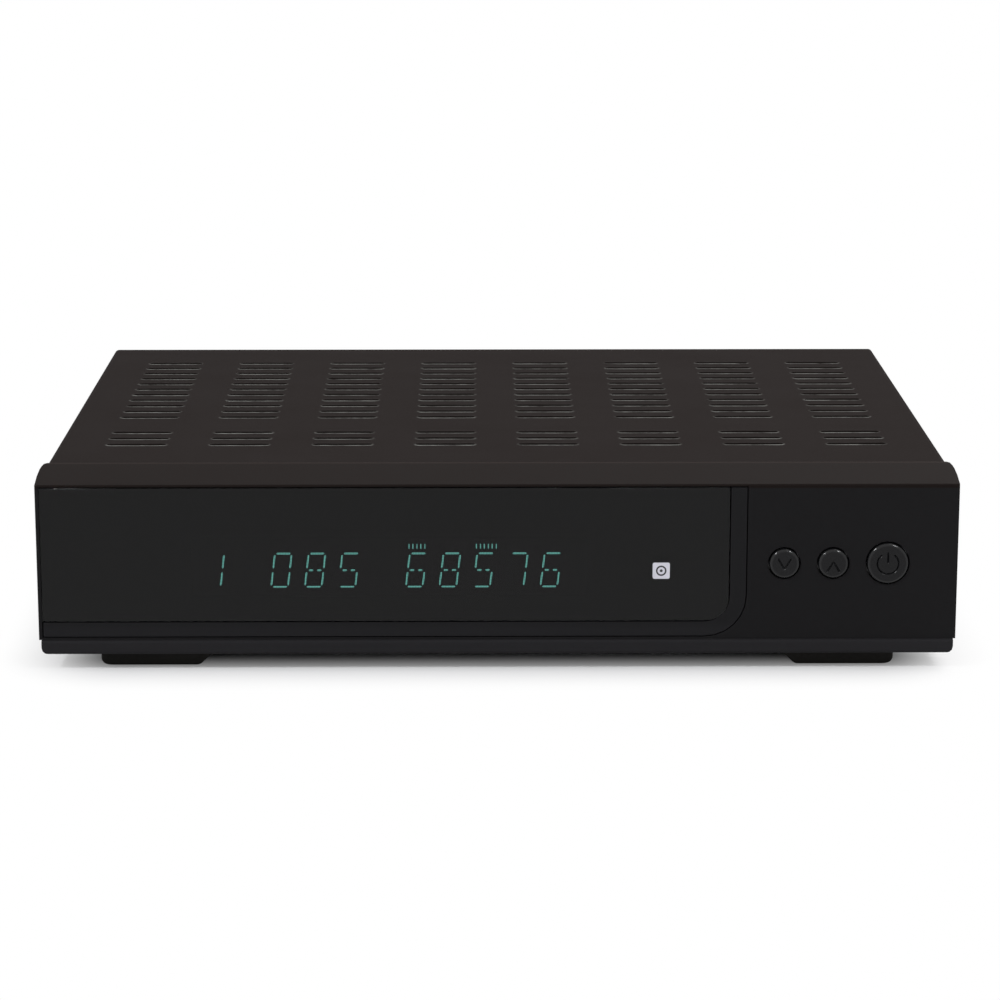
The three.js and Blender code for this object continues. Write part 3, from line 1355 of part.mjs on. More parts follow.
function makeRibbon() {
  const plugZ = (boardBottom + boardTop) / 2;
  const x0 = ribbon.centreX - ribbon.width / 2;
  const x1 = ribbon.centreX + ribbon.width / 2;
  const plugFront = at(frontBoardBack) + gap.rest;
  const frontPlug = box(x0, x1, plugFront, plugFront + ribbon.plugDepth, plugZ, plugZ + ribbon.plugHeight);
  const rearY = at(mainFront + tray.pillarInset);
  const rearPlug = box(x0, x1, rearY, rearY + ribbon.plugDepth, mainTop + gap.rest,
    mainTop + ribbon.plugHeight);
  const startZ = plugZ + ribbon.plugHeight / 2;
  const endZ = mainTop + ribbon.plugHeight * ribbon.entryShare;
  const startY = plugFront + ribbon.plugDepth / 2;
  const span = rearY + ribbon.plugDepth / 2 - startY;
  const middle = Array.from({ length: ribbon.steps + 1 }, (_, i) => {
    const t = i / ribbon.steps;
    return [startY + span * t, startZ + (endZ - startZ) * t - ribbon.sag * Math.sin(Math.PI * t) * (1 - t)];
  });
  const band = alongX(flatLead(middle, ribbon.thickness), x0 + gap.seam, x1 - gap.seam);
  place("ribbon_cable", joined([band, frontPlug, rearPlug]), finishes.ribbon);
}

function makeHarness() {
  const y0 = at(mainFront + harness.fromFront);
  const y1 = y0 + harness.width;
  const plugTop = mainTop + harness.plugHeight;
  const left = supplyRight - harness.inset - harness.plugWidth;
  const right = rearEntries.mainLeft + harness.inset + harness.plugWidth;
  const plugs = [left, right - harness.plugWidth].map((x) =>
    box(x, x + harness.plugWidth, y0, y1, mainTop + gap.rest, plugTop));
  const startX = left + harness.plugWidth / 2;
  const span = right - harness.plugWidth / 2 - startX;
  const middle = Array.from({ length: ribbon.steps + 1 }, (_, i) => {
    const t = i / ribbon.steps;
    return [startX + span * t, plugTop - harness.thickness + harness.rise * Math.sin(Math.PI * t)];
  });
  const bundle = alongY(flatLead(middle, harness.thickness), y0 + gap.seam, y1 - gap.seam);
  place("supply_harness", joined([bundle, ...plugs]), finishes.harness);
}

// Two wires fall from the mains blades to the power supply board, and a third links inlet and switch.
function makeMainsWires() {
  const section = arc(0, 0, mainsWire.radius, 0, 360, facets.wire).slice(0, -1);
  const placeWire = (name, places) => {
    const path = new THREE.CatmullRomCurve3(places.map(([x, y, z]) => new THREE.Vector3(x, y, z)));
    place(name, solidOf(new THREE.ExtrudeGeometry(toShape(section), {
      steps: facets.wireSteps,
      bevelEnabled: false,
      extrudePath: path,
    })), finishes.wire);
  };
  const switchEnd = at(wallOuter) + gap.rest + mainsSwitch.bezel - mainsSwitch.bodyDepth - terminal.length;
  const inletEnd = at(wallOuter) + gap.rest + mainsInlet.flange - mainsInlet.bodyDepth - terminal.length;
  const boardY = at(supplyBack) - mainsWire.inset;
  const starts = [
    ["mains_wire_live", rearEntries.mainsSwitch, switchEnd, mainsSwitch.z - terminal.switchSpacing / 2],
    ["mains_wire_neutral", rearEntries.mainsInlet + mainsInlet.pinSpacing / 2, inletEnd, mainsInlet.z],
  ];
  for (const [name, x, y, z] of starts) {
    const landX = Math.max(x, supplyLeft + mainsWire.inset);
    placeWire(name, [
      [x, y - gap.seam, z],
      [x, y - gap.seam - mainsWire.lead, z],
      [landX, boardY, supplyTop + mainsWire.fall / 2],
      [landX, boardY, supplyTop + gap.seam],
    ]);
  }
  const linkSwitch = [rearEntries.mainsSwitch, switchEnd - gap.seam,
    mainsSwitch.z + terminal.switchSpacing / 2];
  const linkInlet = [rearEntries.mainsInlet - mainsInlet.pinSpacing / 2, inletEnd - gap.seam, mainsInlet.z];
  const ahead = ([x, y, z]) => [x, y - mainsWire.lead, z];
  placeWire("mains_wire_link", [linkSwitch, ahead(linkSwitch), ahead(linkInlet), linkInlet]);
}

makeFrontPanel();
makeWindow();
makeButtons();
makeButtonGuide();
makeFrontBoard();
makeCover();
makeTray();
makeRearPanel();
makeFeetAndScrews();
makeBoards();
makeMainBoardParts();
makeTuner();
makeAvSocket();
makePhonoSockets();
makeSmallSockets();
makeMainsInlet();
makeMainsSwitch();
makeSupplyParts();
makeRibbon();
makeHarness();
makeMainsWires();

export default group;
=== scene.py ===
# A flat television receiver: finishes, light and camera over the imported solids. Metres, +Z up, front facing -Y.
import json
import math
import bmesh
import bpy
import numpy as np
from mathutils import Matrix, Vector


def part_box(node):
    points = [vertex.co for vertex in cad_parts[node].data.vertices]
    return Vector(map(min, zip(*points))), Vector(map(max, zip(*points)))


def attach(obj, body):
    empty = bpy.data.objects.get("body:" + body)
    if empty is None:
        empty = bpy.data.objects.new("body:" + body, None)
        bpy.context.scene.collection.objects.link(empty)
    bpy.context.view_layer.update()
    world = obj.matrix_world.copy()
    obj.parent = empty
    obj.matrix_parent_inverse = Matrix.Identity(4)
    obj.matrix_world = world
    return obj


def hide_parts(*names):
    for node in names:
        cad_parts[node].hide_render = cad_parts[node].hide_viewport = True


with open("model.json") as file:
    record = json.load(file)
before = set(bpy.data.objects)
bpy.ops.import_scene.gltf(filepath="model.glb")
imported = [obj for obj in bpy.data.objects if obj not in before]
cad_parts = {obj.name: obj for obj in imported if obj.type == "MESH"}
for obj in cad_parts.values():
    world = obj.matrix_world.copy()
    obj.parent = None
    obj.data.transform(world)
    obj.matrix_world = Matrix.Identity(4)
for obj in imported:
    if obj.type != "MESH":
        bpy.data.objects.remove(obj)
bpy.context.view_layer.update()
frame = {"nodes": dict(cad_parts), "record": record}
cadNodes = frame["nodes"]
record = frame["record"]
bodyOfNode = {node: body for body, members in record["behaviour"]["bodies"].items() for node in members}
mm = 0.001
bpy.context.scene.view_settings.view_transform = "Standard"
print("receiver: frame loaded,", len(cadNodes), "nodes")

# Camera, world, floor and lamps
cameraSettings = {"place": (-0.005807, -0.99266, 0.25466), "tiltDeg": 77.036, "turnDeg": -0.4167, "lens": 117.07,
                  "sensor": 36, "clip": (0.05, 30)}


def newObject(name, data):
    thing = bpy.data.objects.new(name, data)
    bpy.context.collection.objects.link(thing)
    return thing


def makeCamera():
    settings = cameraSettings
    data = bpy.data.cameras.new("photoCamera")
    data.sensor_width, data.lens = settings["sensor"], settings["lens"]
    data.clip_start, data.clip_end = settings["clip"]
    camera = newObject("photoCamera", data)
    camera.location = settings["place"]
    camera.rotation_euler = (math.radians(settings["tiltDeg"]), 0, math.radians(settings["turnDeg"]))
    bpy.context.scene.camera = camera


# An input, named or numbered, takes a plain value or a link from another node's socket.
def feed(node, inputs):
    for key, value in inputs.items():
        if isinstance(value, bpy.types.NodeSocket):
            node.id_data.links.new(value, node.inputs[key])
        else:
            node.inputs[key].default_value = value
    return node


def addNode(tree, kind, inputs=None, **settings):
    node = tree.nodes.new(kind)
    for key, value in settings.items():
        setattr(node, key, value)
    return feed(node, inputs or {})


# Maths on numbers or vectors. These find their tree from the sockets that they are given.
def calculated(kind, operation, values, **settings):
    tree = next(value.id_data for value in values if isinstance(value, bpy.types.NodeSocket))
    return addNode(tree, kind, dict(enumerate(values)), operation=operation, **settings).outputs[0]


def mathNode(operation, *values, clamp=False):
    return calculated("ShaderNodeMath", operation, values, use_clamp=clamp)


def vectorMath(operation, *values):
    return calculated("ShaderNodeVectorMath", operation, values)


def plus(first, second, clamp=False):
    return mathNode("ADD", first, second, clamp=clamp)


def minus(first, second, clamp=False):
    return mathNode("SUBTRACT", first, second, clamp=clamp)


def times(first, second, clamp=False):
    return mathNode("MULTIPLY", first, second, clamp=clamp)


noiseMean = 0.5


# Noise about zero, and the cells of a Voronoi texture
def noiseAt(vector, scale, detail, roughness=0.55):
    noise = addNode(vector.id_data, "ShaderNodeTexNoise",
                    {"Vector": vector, "Scale": scale, "Detail": detail, "Roughness": roughness})
    return minus(noise.outputs["Fac"], noiseMean)


def cellsAt(vector, scale, feature="F1", randomness=1.0):
    return addNode(vector.id_data, "ShaderNodeTexVoronoi",
                   {"Vector": vector, "Scale": scale, "Randomness": randomness}, feature=feature).outputs


def axesOf(vector):
    return addNode(vector.id_data, "ShaderNodeSeparateXYZ", {0: vector}).outputs


def scaledColor(color, factor):
    scaled = addNode(factor.id_data, "ShaderNodeVectorMath", {0: color, "Scale": factor}, operation="SCALE")
    return scaled.outputs[0]


def mixedColor(factor, first, second):
    return addNode(factor.id_data, "ShaderNodeMix", {"Factor": factor, "A": first, "B": second},
                   data_type="RGBA").outputs["Result"]


def objectCoordinates(tree):
    return addNode(tree, "ShaderNodeTexCoord").outputs["Object"]


def newMaterial(name):
    material = bpy.data.materials.new(name)
    material.use_nodes = True
    return material, material.node_tree, material.node_tree.nodes["Principled BSDF"]


# 1 where the camera looks, straight, in a mirror or through a clear pane, and 0 for scattered light
def seenDirectly(tree):
    rays = addNode(tree, "ShaderNodeLightPath").outputs
    seen = mathNode("MAXIMUM", rays["Is Camera Ray"], rays["Is Glossy Ray"])
    return mathNode("MAXIMUM", seen, rays["Is Transmission Ray"])


worldSettings = {"background": (1, 1, 1, 1), "ambient": (0.34, 0.34, 0.35, 1)}


def makeWorld():
    world = bpy.data.worlds.new("studioWorld")
    bpy.context.scene.world = world
    world.use_nodes = True
    tree = world.node_tree
    tree.nodes.clear()
    color = mixedColor(seenDirectly(tree), worldSettings["ambient"], worldSettings["background"])
    background = addNode(tree, "ShaderNodeBackground", {"Color": color})
    addNode(tree, "ShaderNodeOutputWorld", {0: background.outputs[0]})


floorSettings = {"half": 4.0, "color": (0.7, 0.7, 0.705, 1), "roughness": 0.9, "specular": 0.1,
                 "footprint": (0.106, 0.0805), "centre": (0.0, -0.0045), "fade": 0.04}


# Seen directly the floor turns plain white away from the receiver, s = f^2 (3 - 2 f) with f the distance over the
# fade, and close to the receiver it is an ordinary pale floor that takes the shadow.
def makeFloor():
    settings, half = floorSettings, floorSettings["half"]
    mesh = bpy.data.meshes.new("studioFloor")
    mesh.from_pydata([(-half, -half, 0), (half, -half, 0), (half, half, 0), (-half, half, 0)], [], [(0, 1, 2, 3)])
    floor = newObject("studioFloor", mesh)
    material, tree, shader = newMaterial("studioFloor")
    feed(shader, {"Base Color": settings["color"], "Roughness": settings["roughness"],
                  "Specular IOR Level": settings["specular"]})
    axes = axesOf(objectCoordinates(tree))
    reach = []
    for axis in range(2):
        away = minus(axes[axis], settings["centre"][axis])
        away = minus(mathNode("ABSOLUTE", away), settings["footprint"][axis])
        reach.append(mathNode("POWER", mathNode("MAXIMUM", away, 0), 2))
    distance = mathNode("SQRT", plus(*reach))
    fade = addNode(tree, "ShaderNodeMapRange", {"Value": distance, "From Max": settings["fade"]},
                   interpolation_type="SMOOTHSTEP")
    white = addNode(tree, "ShaderNodeEmission")
    mix = addNode(tree, "ShaderNodeMixShader", {
        "Fac": times(seenDirectly(tree), fade.outputs["Result"]),
        1: shader.outputs[0], 2: white.outputs[0]})
    feed(tree.nodes["Material Output"], {"Surface": mix.outputs[0]})
    mesh.materials.append(material)


lampTable = {
    "overheadLamp": {"place": (0.6, 0.35, 1.2), "aim": (0, 0, 0), "size": (1.0, 1.0), "watts": 14.5,
                     "color": (1.0, 0.965, 0.95)},
    "leftLamp": {"place": (-0.75, -0.75, 0.85), "aim": (0, -0.05, 0.03), "size": (0.2, 0.16), "watts": 7.5,
                 "color": (0.97, 0.98, 1.0)},
    "rightLamp": {"place": (0.7, -0.8, 0.9), "aim": (0, -0.05, 0.03), "size": (0.32, 0.16), "watts": 6.0,
                  "color": (0.97, 0.98, 1.0)},
}


def makeLamps():
    for name, row in lampTable.items():
        data = bpy.data.lights.new(name, "AREA")
        data.shape = "RECTANGLE"
        data.size, data.size_y = row["size"]
        data.energy, data.color = row["watts"], row["color"]
        away = np.array(row["place"]) - np.array(row["aim"])
        away = away / np.linalg.norm(away)
        lamp = newObject(name, data)
        lamp.location = row["place"]
        lamp.rotation_euler = (math.acos(away[2]), 0, math.atan2(away[0], -away[1]))


makeCamera()
makeWorld()
makeFloor()
makeLamps()
print("receiver: camera, world, floor and lamps made")

# Shader groups. Beside its coordinates each takes named inputs: a number, a colour of four numbers, or a vector.
surfaceInputs = {"Base Color": (0.5, 0.5, 0.5, 1), "Roughness": 0.4, "Tone Spread": 0.1, "Roughness Spread": 0.1}


def newGroup(name, inputs, outputs=("Color", "Roughness", "Height")):
    group = bpy.data.node_groups.new(name, "ShaderNodeTree")
    group.interface.new_socket("Coordinates", in_out="INPUT", socket_type="NodeSocketVector")
    for label, value in inputs.items():
        kind = "Float" if isinstance(value, float) else "Color" if len(value) == 4 else "Vector"
        group.interface.new_socket(label, in_out="INPUT", socket_type="NodeSocket" + kind).default_value = value
    for label in outputs:
        kind = "Color" if label == "Color" else "Float"
        group.interface.new_socket(label, in_out="OUTPUT", socket_type="NodeSocket" + kind)
    return group, addNode(group, "NodeGroupInput").outputs, addNode(group, "NodeGroupOutput")


# Puts out the base colour times 1 + tone spread x tone, and the roughness + roughness spread x gloss.
def putOut(source, target, tone, gloss, height):
    shade = plus(times(tone, source["Tone Spread"]), 1.0)
    rough = plus(source["Roughness"], times(gloss, source["Roughness Spread"]), clamp=True)
    feed(target, {"Color": scaledColor(source["Base Color"], shade), "Roughness": rough, "Height": height})


skinValues = {"grainDetail": 3.0, "cloudDetail": 4.0, "cloudScale": 0.012, "grainTone": 0.5, "pitScale": 0.7,
              "pitReach": 0.45, "pitGloss": 0.4}


# Fine pebbled skin of paint or moulded plastic: small grain, slow clouding, and a speckle of tiny pits.
def makeSkinGroup():
    tree, source, target = newGroup("skinGrain", {**surfaceInputs, "Grain Scale": 2500.0})
    values, place, scale = skinValues, source["Coordinates"], source["Grain Scale"]
    fine = noiseAt(place, scale, values["grainDetail"])
    cloud = noiseAt(place, times(scale, values["cloudScale"]), values["cloudDetail"])
    cell = cellsAt(place, times(scale, values["pitScale"]))
    pits = minus(values["pitReach"], cell["Distance"], clamp=True)
    tone = plus(times(fine, values["grainTone"]), cloud)
    gloss = minus(plus(fine, cloud), times(pits, values["pitGloss"]))
    putOut(source, target, tone, gloss, minus(plus(fine, noiseMean), pits))
    return tree


streakValues = {"detail": 2.0, "cloudScale": 45.0, "cloudDetail": 4.0}


# Rolled or drawn metal: noise pulled out along one direction, so streaks run across the other two.
def makeStreakGroup():
    tree, source, target = newGroup("rolledStreaks", {**surfaceInputs, "Stretch": (60.0, 4000.0, 4000.0)})
    pulled = vectorMath("MULTIPLY", source["Coordinates"], source["Stretch"])
    streak = noiseAt(pulled, 1.0, streakValues["detail"])
    cloud = noiseAt(source["Coordinates"], streakValues["cloudScale"], streakValues["cloudDetail"])
    both = plus(streak, cloud)
    putOut(source, target, both, both, plus(streak, noiseMean))
    return tree


spangleValues = {"wobbleScale": 90.0, "wobbleDetail": 3.0, "wobble": (0.006, 0.006, 0.006), "lineSharpness": 6.0}


# Zinc crystals on galvanised sheet: each cell has its own tone and gloss, with a faint line between cells.
def makeSpangleGroup():
    tree, source, target = newGroup("zincSpangle", {**surfaceInputs, "Crystal Scale": 160.0})
    values, place = spangleValues, source["Coordinates"]
    wobble = addNode(tree, "ShaderNodeTexNoise",
                     {"Vector": place, "Scale": values["wobbleScale"], "Detail": values["wobbleDetail"]})
    bent = vectorMath("MULTIPLY_ADD", wobble.outputs["Color"], values["wobble"], place)
    cell = cellsAt(bent, source["Crystal Scale"])
    edge = cellsAt(bent, source["Crystal Scale"], "DISTANCE_TO_EDGE")
    split = addNode(tree, "ShaderNodeSeparateColor", {0: cell["Color"]})
    tone, gloss = [minus(split.outputs[i], noiseMean) for i in range(2)]
    line = times(edge["Distance"], values["lineSharpness"])
    putOut(source, target, tone, gloss, mathNode("MINIMUM", line, 1.0))
    return tree


trackValues = {"offset": 0.35, "space": 0.22, "length": 2.6, "width": 0.55, "trackHeight": 0.5, "padScale": 0.75,
               "padRadius": 0.16, "padScatter": 0.55}


# Laminate board: bands of copper under lacquer, with round soldered pads where a cell has its middle.
def makeTrackGroup():
    tree, source, target = newGroup("boardTracks", {
        **surfaceInputs, "Track Scale": 420.0, "Pad Color": (0.5, 0.5, 0.48, 1)})
    values, place, scale = trackValues, source["Coordinates"], source["Track Scale"]
    brick = addNode(tree, "ShaderNodeTexBrick", {
        "Vector": place, "Scale": scale, "Mortar Size": values["space"], "Brick Width": values["length"],
        "Row Height": values["width"]}, offset=values["offset"])
    track = minus(1.0, brick.outputs["Fac"])
    cell = cellsAt(place, times(scale, values["padScale"]), randomness=values["padScatter"])
    pad = mathNode("LESS_THAN", cell["Distance"], values["padRadius"])
    lacquer = scaledColor(source["Base Color"], plus(times(track, source["Tone Spread"]), 1.0))
    feed(target, {
        "Color": mixedColor(pad, lacquer, source["Pad Color"]),
        "Roughness": minus(source["Roughness"], times(pad, source["Roughness Spread"])),
        "Height": plus(times(track, values["trackHeight"]), pad)})
    return tree


edgeSheenValues = {"scale": 130.0, "detail": 5.0, "roughness": 0.75, "lift": 0.22, "gain": 2.2}


# Painted highlight: where a piece's own mask rises, its colour turns to the lighter sheen colour, broken up by
# small noise.
def makeEdgeSheenGroup():
    white = (1, 1, 1, 1)
    tree, source, target = newGroup("edgeWear", {"Color": white, "Worn Color": white, "Mask": 0.0}, ("Color",))
    values = edgeSheenValues
    broken = noiseAt(source["Coordinates"], values["scale"], values["detail"], values["roughness"])
    broken = times(plus(broken, values["lift"]), values["gain"], clamp=True)
    broken = times(broken, source["Mask"], clamp=True)
    feed(target, {"Color": mixedColor(broken, source["Color"], source["Worn Color"])})
    return tree


# A band of painted light and shade: the colour is multiplied by the factor where the height passes from one level
# to the other.
def makePaintedLightBandGroup():
    white = (1, 1, 1, 1)
    tree, source, target = newGroup("heightBand", {"Color": white, "Factor": white, "Start": 0.0, "End": 1.0},
                                    ("Color",))
    step = addNode(tree, "ShaderNodeMapRange", {
        "Value": axesOf(source["Coordinates"])["Z"], "From Min": source["Start"], "From Max": source["End"]},
        interpolation_type="LINEAR")
    changed = vectorMath("MULTIPLY", source["Color"], source["Factor"])
    feed(target, {"Color": mixedColor(step.outputs["Result"], source["Color"], changed)})
    return tree


shaderGroups = {
    "skin": makeSkinGroup(),
    "streaks": makeStreakGroup(),
    "spangle": makeSpangleGroup(),
    "tracks": makeTrackGroup(),
    "wear": makeEdgeSheenGroup(),
    "band": makePaintedLightBandGroup(),
}
finishes = {}
bevelSamples = 4


# One finish: a group drives colour, roughness and bump, and plain numbers sit on the shader's own sockets. Where
# an edge radius is given, the shading rolls over sharp edges by that much.
def makeFinish(name, detail, color, groupValues, shaderValues, depth, strength=0.5, edge=None):
    material, tree, shader = newMaterial(name)
    group = addNode(tree, "ShaderNodeGroup", {
        "Coordinates": objectCoordinates(tree), "Base Color": (*color, 1), **groupValues},
        node_tree=shaderGroups[detail])
    bump = addNode(tree, "ShaderNodeBump", {"Strength": strength, "Distance": depth,
                                            "Height": group.outputs["Height"]})
    if edge:
        rolled = addNode(tree, "ShaderNodeBevel", {"Radius": edge}, samples=bevelSamples)
        feed(bump, {"Normal": rolled.outputs[0]})
    feed(shader, {"Base Color": group.outputs["Color"], "Roughness": group.outputs["Roughness"],
                  "Normal": bump.outputs[0]})
    feed(shader, {label.replace("_", " "): value for label, value in shaderValues.items()})
    material.diffuse_color = (*color, 1)
    finishes[name] = material


def plastic(name, color, roughness, specular=0.4, grain=2500.0, tone=0.12, spread=0.1, depth=0.00002, edge=None,
            strength=0.5, **shaderValues):
    makeFinish(name, "skin", color,
               {"Roughness": roughness, "Grain Scale": grain, "Tone Spread": tone, "Roughness Spread": spread},
               {"Specular IOR Level": specular, **shaderValues}, depth, strength, edge)


def streaked(name, color, roughness, stretch, tone=0.12, spread=0.15, depth=0.000005, edge=None, **shaderValues):
    makeFinish(name, "streaks", color,
               {"Roughness": roughness, "Stretch": stretch, "Tone Spread": tone, "Roughness Spread": spread},
               shaderValues, depth, edge=edge)


# Puts a colour effect between a finish's colour and its shader.
def addEffect(finish, effect, inputs):
    tree = finishes[finish].node_tree
    color = tree.nodes["Principled BSDF"].inputs["Base Color"]
    group = addNode(tree, "ShaderNodeGroup", {
        "Coordinates": objectCoordinates(tree), "Color": color.links[0].from_socket, **inputs},
        node_tree=shaderGroups[effect])
    tree.links.new(group.outputs["Color"], color)


# The mask that addPiece stores with a piece's points: a painted highlight on the cover's slot rims, and the clear
# coat on the caps' edges and signs
def edgeSheenMask(finish):
    return addNode(finishes[finish].node_tree, "ShaderNodeAttribute", attribute_name="wear").outputs["Fac"]


# Outer finishes
plastic("coverPaint", (0.0117, 0.0090, 0.0084), 0.64, specular=0.01, grain=2600.0, tone=0.1, spread=0.12,
        depth=0.00003)
# the slot rims are painted a lighter grey: a painted highlight where they catch the light
addEffect("coverPaint", "wear", {"Worn Color": (0.2, 0.205, 0.192, 1), "Mask": edgeSheenMask("coverPaint")})
plastic("panelPlastic", (0.0104, 0.0101, 0.0106), 0.5, specular=0.03, grain=3200.0, tone=0.08, spread=0.08,
        depth=0.000012, edge=0.00022)
plastic("trimPlastic", (0.0089, 0.0087, 0.0094), 0.42, specular=0.07, grain=3200.0, tone=0.08, spread=0.08,
        depth=0.00001, edge=0.00015)
# Painted light and shade on the front mouldings, row by row: finish, start and end heights, colour factor.
paintedLightBands = [
    ("panelPlastic", 0.0093, 0.0089, (1.7, 1.7, 1.74)),  # lip, lighter: painted light
    ("panelPlastic", 0.0528, 0.0531, (0.84, 0.63, 0.54)),  # sloped top, darker and warmer: painted shade
    ("panelPlastic", 0.05715, 0.05735, (2.2, 2.2, 2.2)),  # its rear edge, lighter: painted highlight
    ("trimPlastic", 0.014, 0.012, (1.3, 1.3, 1.32)),  # lower run of the trim band, lighter: painted light
]
for finish, start, end, factor in paintedLightBands:
    addEffect(finish, "band", {"Start": start, "End": end, "Factor": (*factor, 1)})
plastic("capPlastic", (0.0044, 0.0044, 0.0050), 0.16, specular=0.18, grain=2400.0, tone=0.08, spread=0.06,
        depth=0.000006, Coat_Roughness=0.1)
# fingers keep the caps' edges and engraved signs bright: those carry a clear coat
feed(finishes["capPlastic"].node_tree.nodes["Principled BSDF"], {"Coat Weight": edgeSheenMask("capPlastic")})
plastic("footRubber", (0.0044, 0.0036, 0.0026), 0.72, specular=0.2, grain=1500.0, tone=0.2, spread=0.15,
        depth=0.00006, edge=0.0004)
plastic("darkMoulding", (0.009, 0.009, 0.0098), 0.46, grain=2200.0, spread=0.12, depth=0.000015, edge=0.0002)
for name, color in (("paleInk", (0.58, 0.58, 0.63)), ("darkInk", (0.02, 0.02, 0.021))):
    plastic(name, color, 0.5, grain=2600.0)

# Finishes of the metals and of what stands inside
makeFinish("zincSheet", "spangle", (0.42, 0.43, 0.44),
           {"Roughness": 0.4, "Crystal Scale": 190.0, "Tone Spread": 0.22, "Roughness Spread": 0.22},
           {"Metallic": 0.9}, 0.000004, 0.4, 0.0002)
streaked("tinPlate", (0.55, 0.55, 0.54), 0.3, (3500.0, 3500.0, 90.0), edge=0.0002, Metallic=1.0)
streaked("nickelPlate", (0.6, 0.59, 0.56), 0.2, (900.0, 60.0, 900.0), 0.06, 0.08, Metallic=1.0)
streaked("steelScrew", (0.35, 0.35, 0.36), 0.32, (500.0, 500.0, 500.0), 0.12, 0.12, Metallic=1.0)
streaked("goldContact", (0.72, 0.5, 0.17), 0.28, (900.0, 60.0, 900.0), 0.08, 0.1, Metallic=1.0)
streaked("spunAluminium", (0.62, 0.63, 0.64), 0.36, (3500.0, 3500.0, 60.0), edge=0.0002, Metallic=1.0)
makeFinish("greenBoard", "tracks", (0.012, 0.075, 0.03),
           {"Roughness": 0.36, "Track Scale": 420.0, "Tone Spread": 0.7, "Roughness Spread": 0.12,
            "Pad Color": (0.5, 0.5, 0.47, 1)}, {"Specular IOR Level": 0.5}, 0.00003, 0.4, 0.0002)
makeFinish("tanBoard", "tracks", (0.2, 0.11, 0.035),
           {"Roughness": 0.45, "Track Scale": 260.0, "Tone Spread": 0.35, "Roughness Spread": 0.12,
            "Pad Color": (0.55, 0.55, 0.53, 1)}, {"Specular IOR Level": 0.4}, 0.00003, 0.4, 0.0002)
plastic("chipEpoxy", (0.014, 0.014, 0.015), 0.55, grain=3600.0, edge=0.00015)
streaked("windingTape", (0.55, 0.33, 0.05), 0.35, (30.0, 30.0, 1500.0), 0.35, 0.2, 0.00004, 0.0003,
         Specular_IOR_Level=0.5)
plastic("capacitorSleeve", (0.015, 0.02, 0.05), 0.25, grain=700.0, edge=0.0003)
plastic("fuseGlass", (0.55, 0.56, 0.54), 0.08, 0.5, 600.0, 0.1, 0.05, 0.000004)
plastic("fishPaper", (0.09, 0.1, 0.09), 0.75, grain=500.0, tone=0.3)
streaked("ribbonVinyl", (0.42, 0.42, 0.42), 0.45, (2200.0, 8.0, 8.0), 0.5, 0.1, 0.00008, Specular_IOR_Level=0.4)
streaked("harnessVinyl", (0.03, 0.03, 0.032), 0.4, (8.0, 1500.0, 8.0), 0.6, 0.1, 0.00008, Specular_IOR_Level=0.4)
plastic("liveVinyl", (0.12, 0.045, 0.02), 0.4, grain=900.0)
plastic("neutralVinyl", (0.01, 0.06, 0.25), 0.4, grain=900.0)
plastic("tubeGlass", (0.006, 0.0075, 0.008), 0.1, 0.5, 1500.0, 0.2, 0.04, 0.000003, edge=0.0003)
for name, color in (("redMoulding", (0.5, 0.012, 0.012)), ("whiteMoulding", (0.72, 0.71, 0.68)),
                    ("orangeMoulding", (0.75, 0.17, 0.015)), ("yellowMoulding", (0.78, 0.52, 0.02))):
    plastic(name, color, 0.34, edge=0.00012)
print("receiver: finishes made,", len(finishes))

# Carried-over parts and their finishes. The parts that the pieces below replace aren't here.
dressTable = {
    "panelPlastic": "front_panel",
    "trimPlastic": "window_trim",
    "zincSheet": "chassis_tray rear_panel",
    "tinPlate": "tuner_can av_socket_21_pin digital_video_socket data_socket",
    "spunAluminium": "processor_heat_sink supply_heat_sink",
    "greenBoard": "main_board front_board",
    "tanBoard": "power_supply_board",
    "chipEpoxy": "processor_chip memory_chip infrared_receiver",
    "windingTape": "transformer",
    "capacitorSleeve": "mains_capacitor output_capacitor",
    "fuseGlass": "fuse",
    "fishPaper": "insulating_sheet",
    "ribbonVinyl": "ribbon_cable",
    "harnessVinyl": "supply_harness",
    "liveVinyl": "mains_wire_live mains_wire_link",
    "neutralVinyl": "mains_wire_neutral",
    "tubeGlass": "display_tube",
    "darkMoulding": "button_guide switch_plunger_channel_down switch_plunger_channel_up switch_plunger_power "
                    "mains_inlet mains_switch_housing mains_switch_rocker network_socket phono_socket_block",
}
for finish, nodes in dressTable.items():
    for node in nodes.split():
        cadNodes[node].data.materials.clear()
        cadNodes[node].data.materials.append(finishes[finish])
print("receiver: carried-over parts dressed")


# Mesh helpers. Coordinates of any matching shapes are stacked to points.
def together(*parts):
    return np.stack(np.broadcast_arrays(*parts), -1)


# Places of a row of equal things, centred on zero
def centredRow(count, pitch):
    return (np.arange(count) - (count - 1) / 2) * pitch


# A grid of points gives quads between neighbours, and rows or columns may close on themselves.
def gridQuads(rows, columns, closeRows=False, closeColumns=False):
    index = np.arange(rows * columns).reshape(rows, columns)
    if closeRows:
        index = np.vstack([index, index[:1]])
    if closeColumns:
        index = np.hstack([index, index[:, :1]])
    return np.stack([index[:-1, :-1], index[:-1, 1:], index[1:, 1:], index[1:, :-1]], -1).reshape(-1, 4)


# The faces of one copy of a shape, counted on for every further copy.
def repeated(faces, points, copies):
    faces = np.asarray(faces)
    return (faces[None] + points * np.arange(copies)[:, None, None]).reshape(-1, faces.shape[-1])


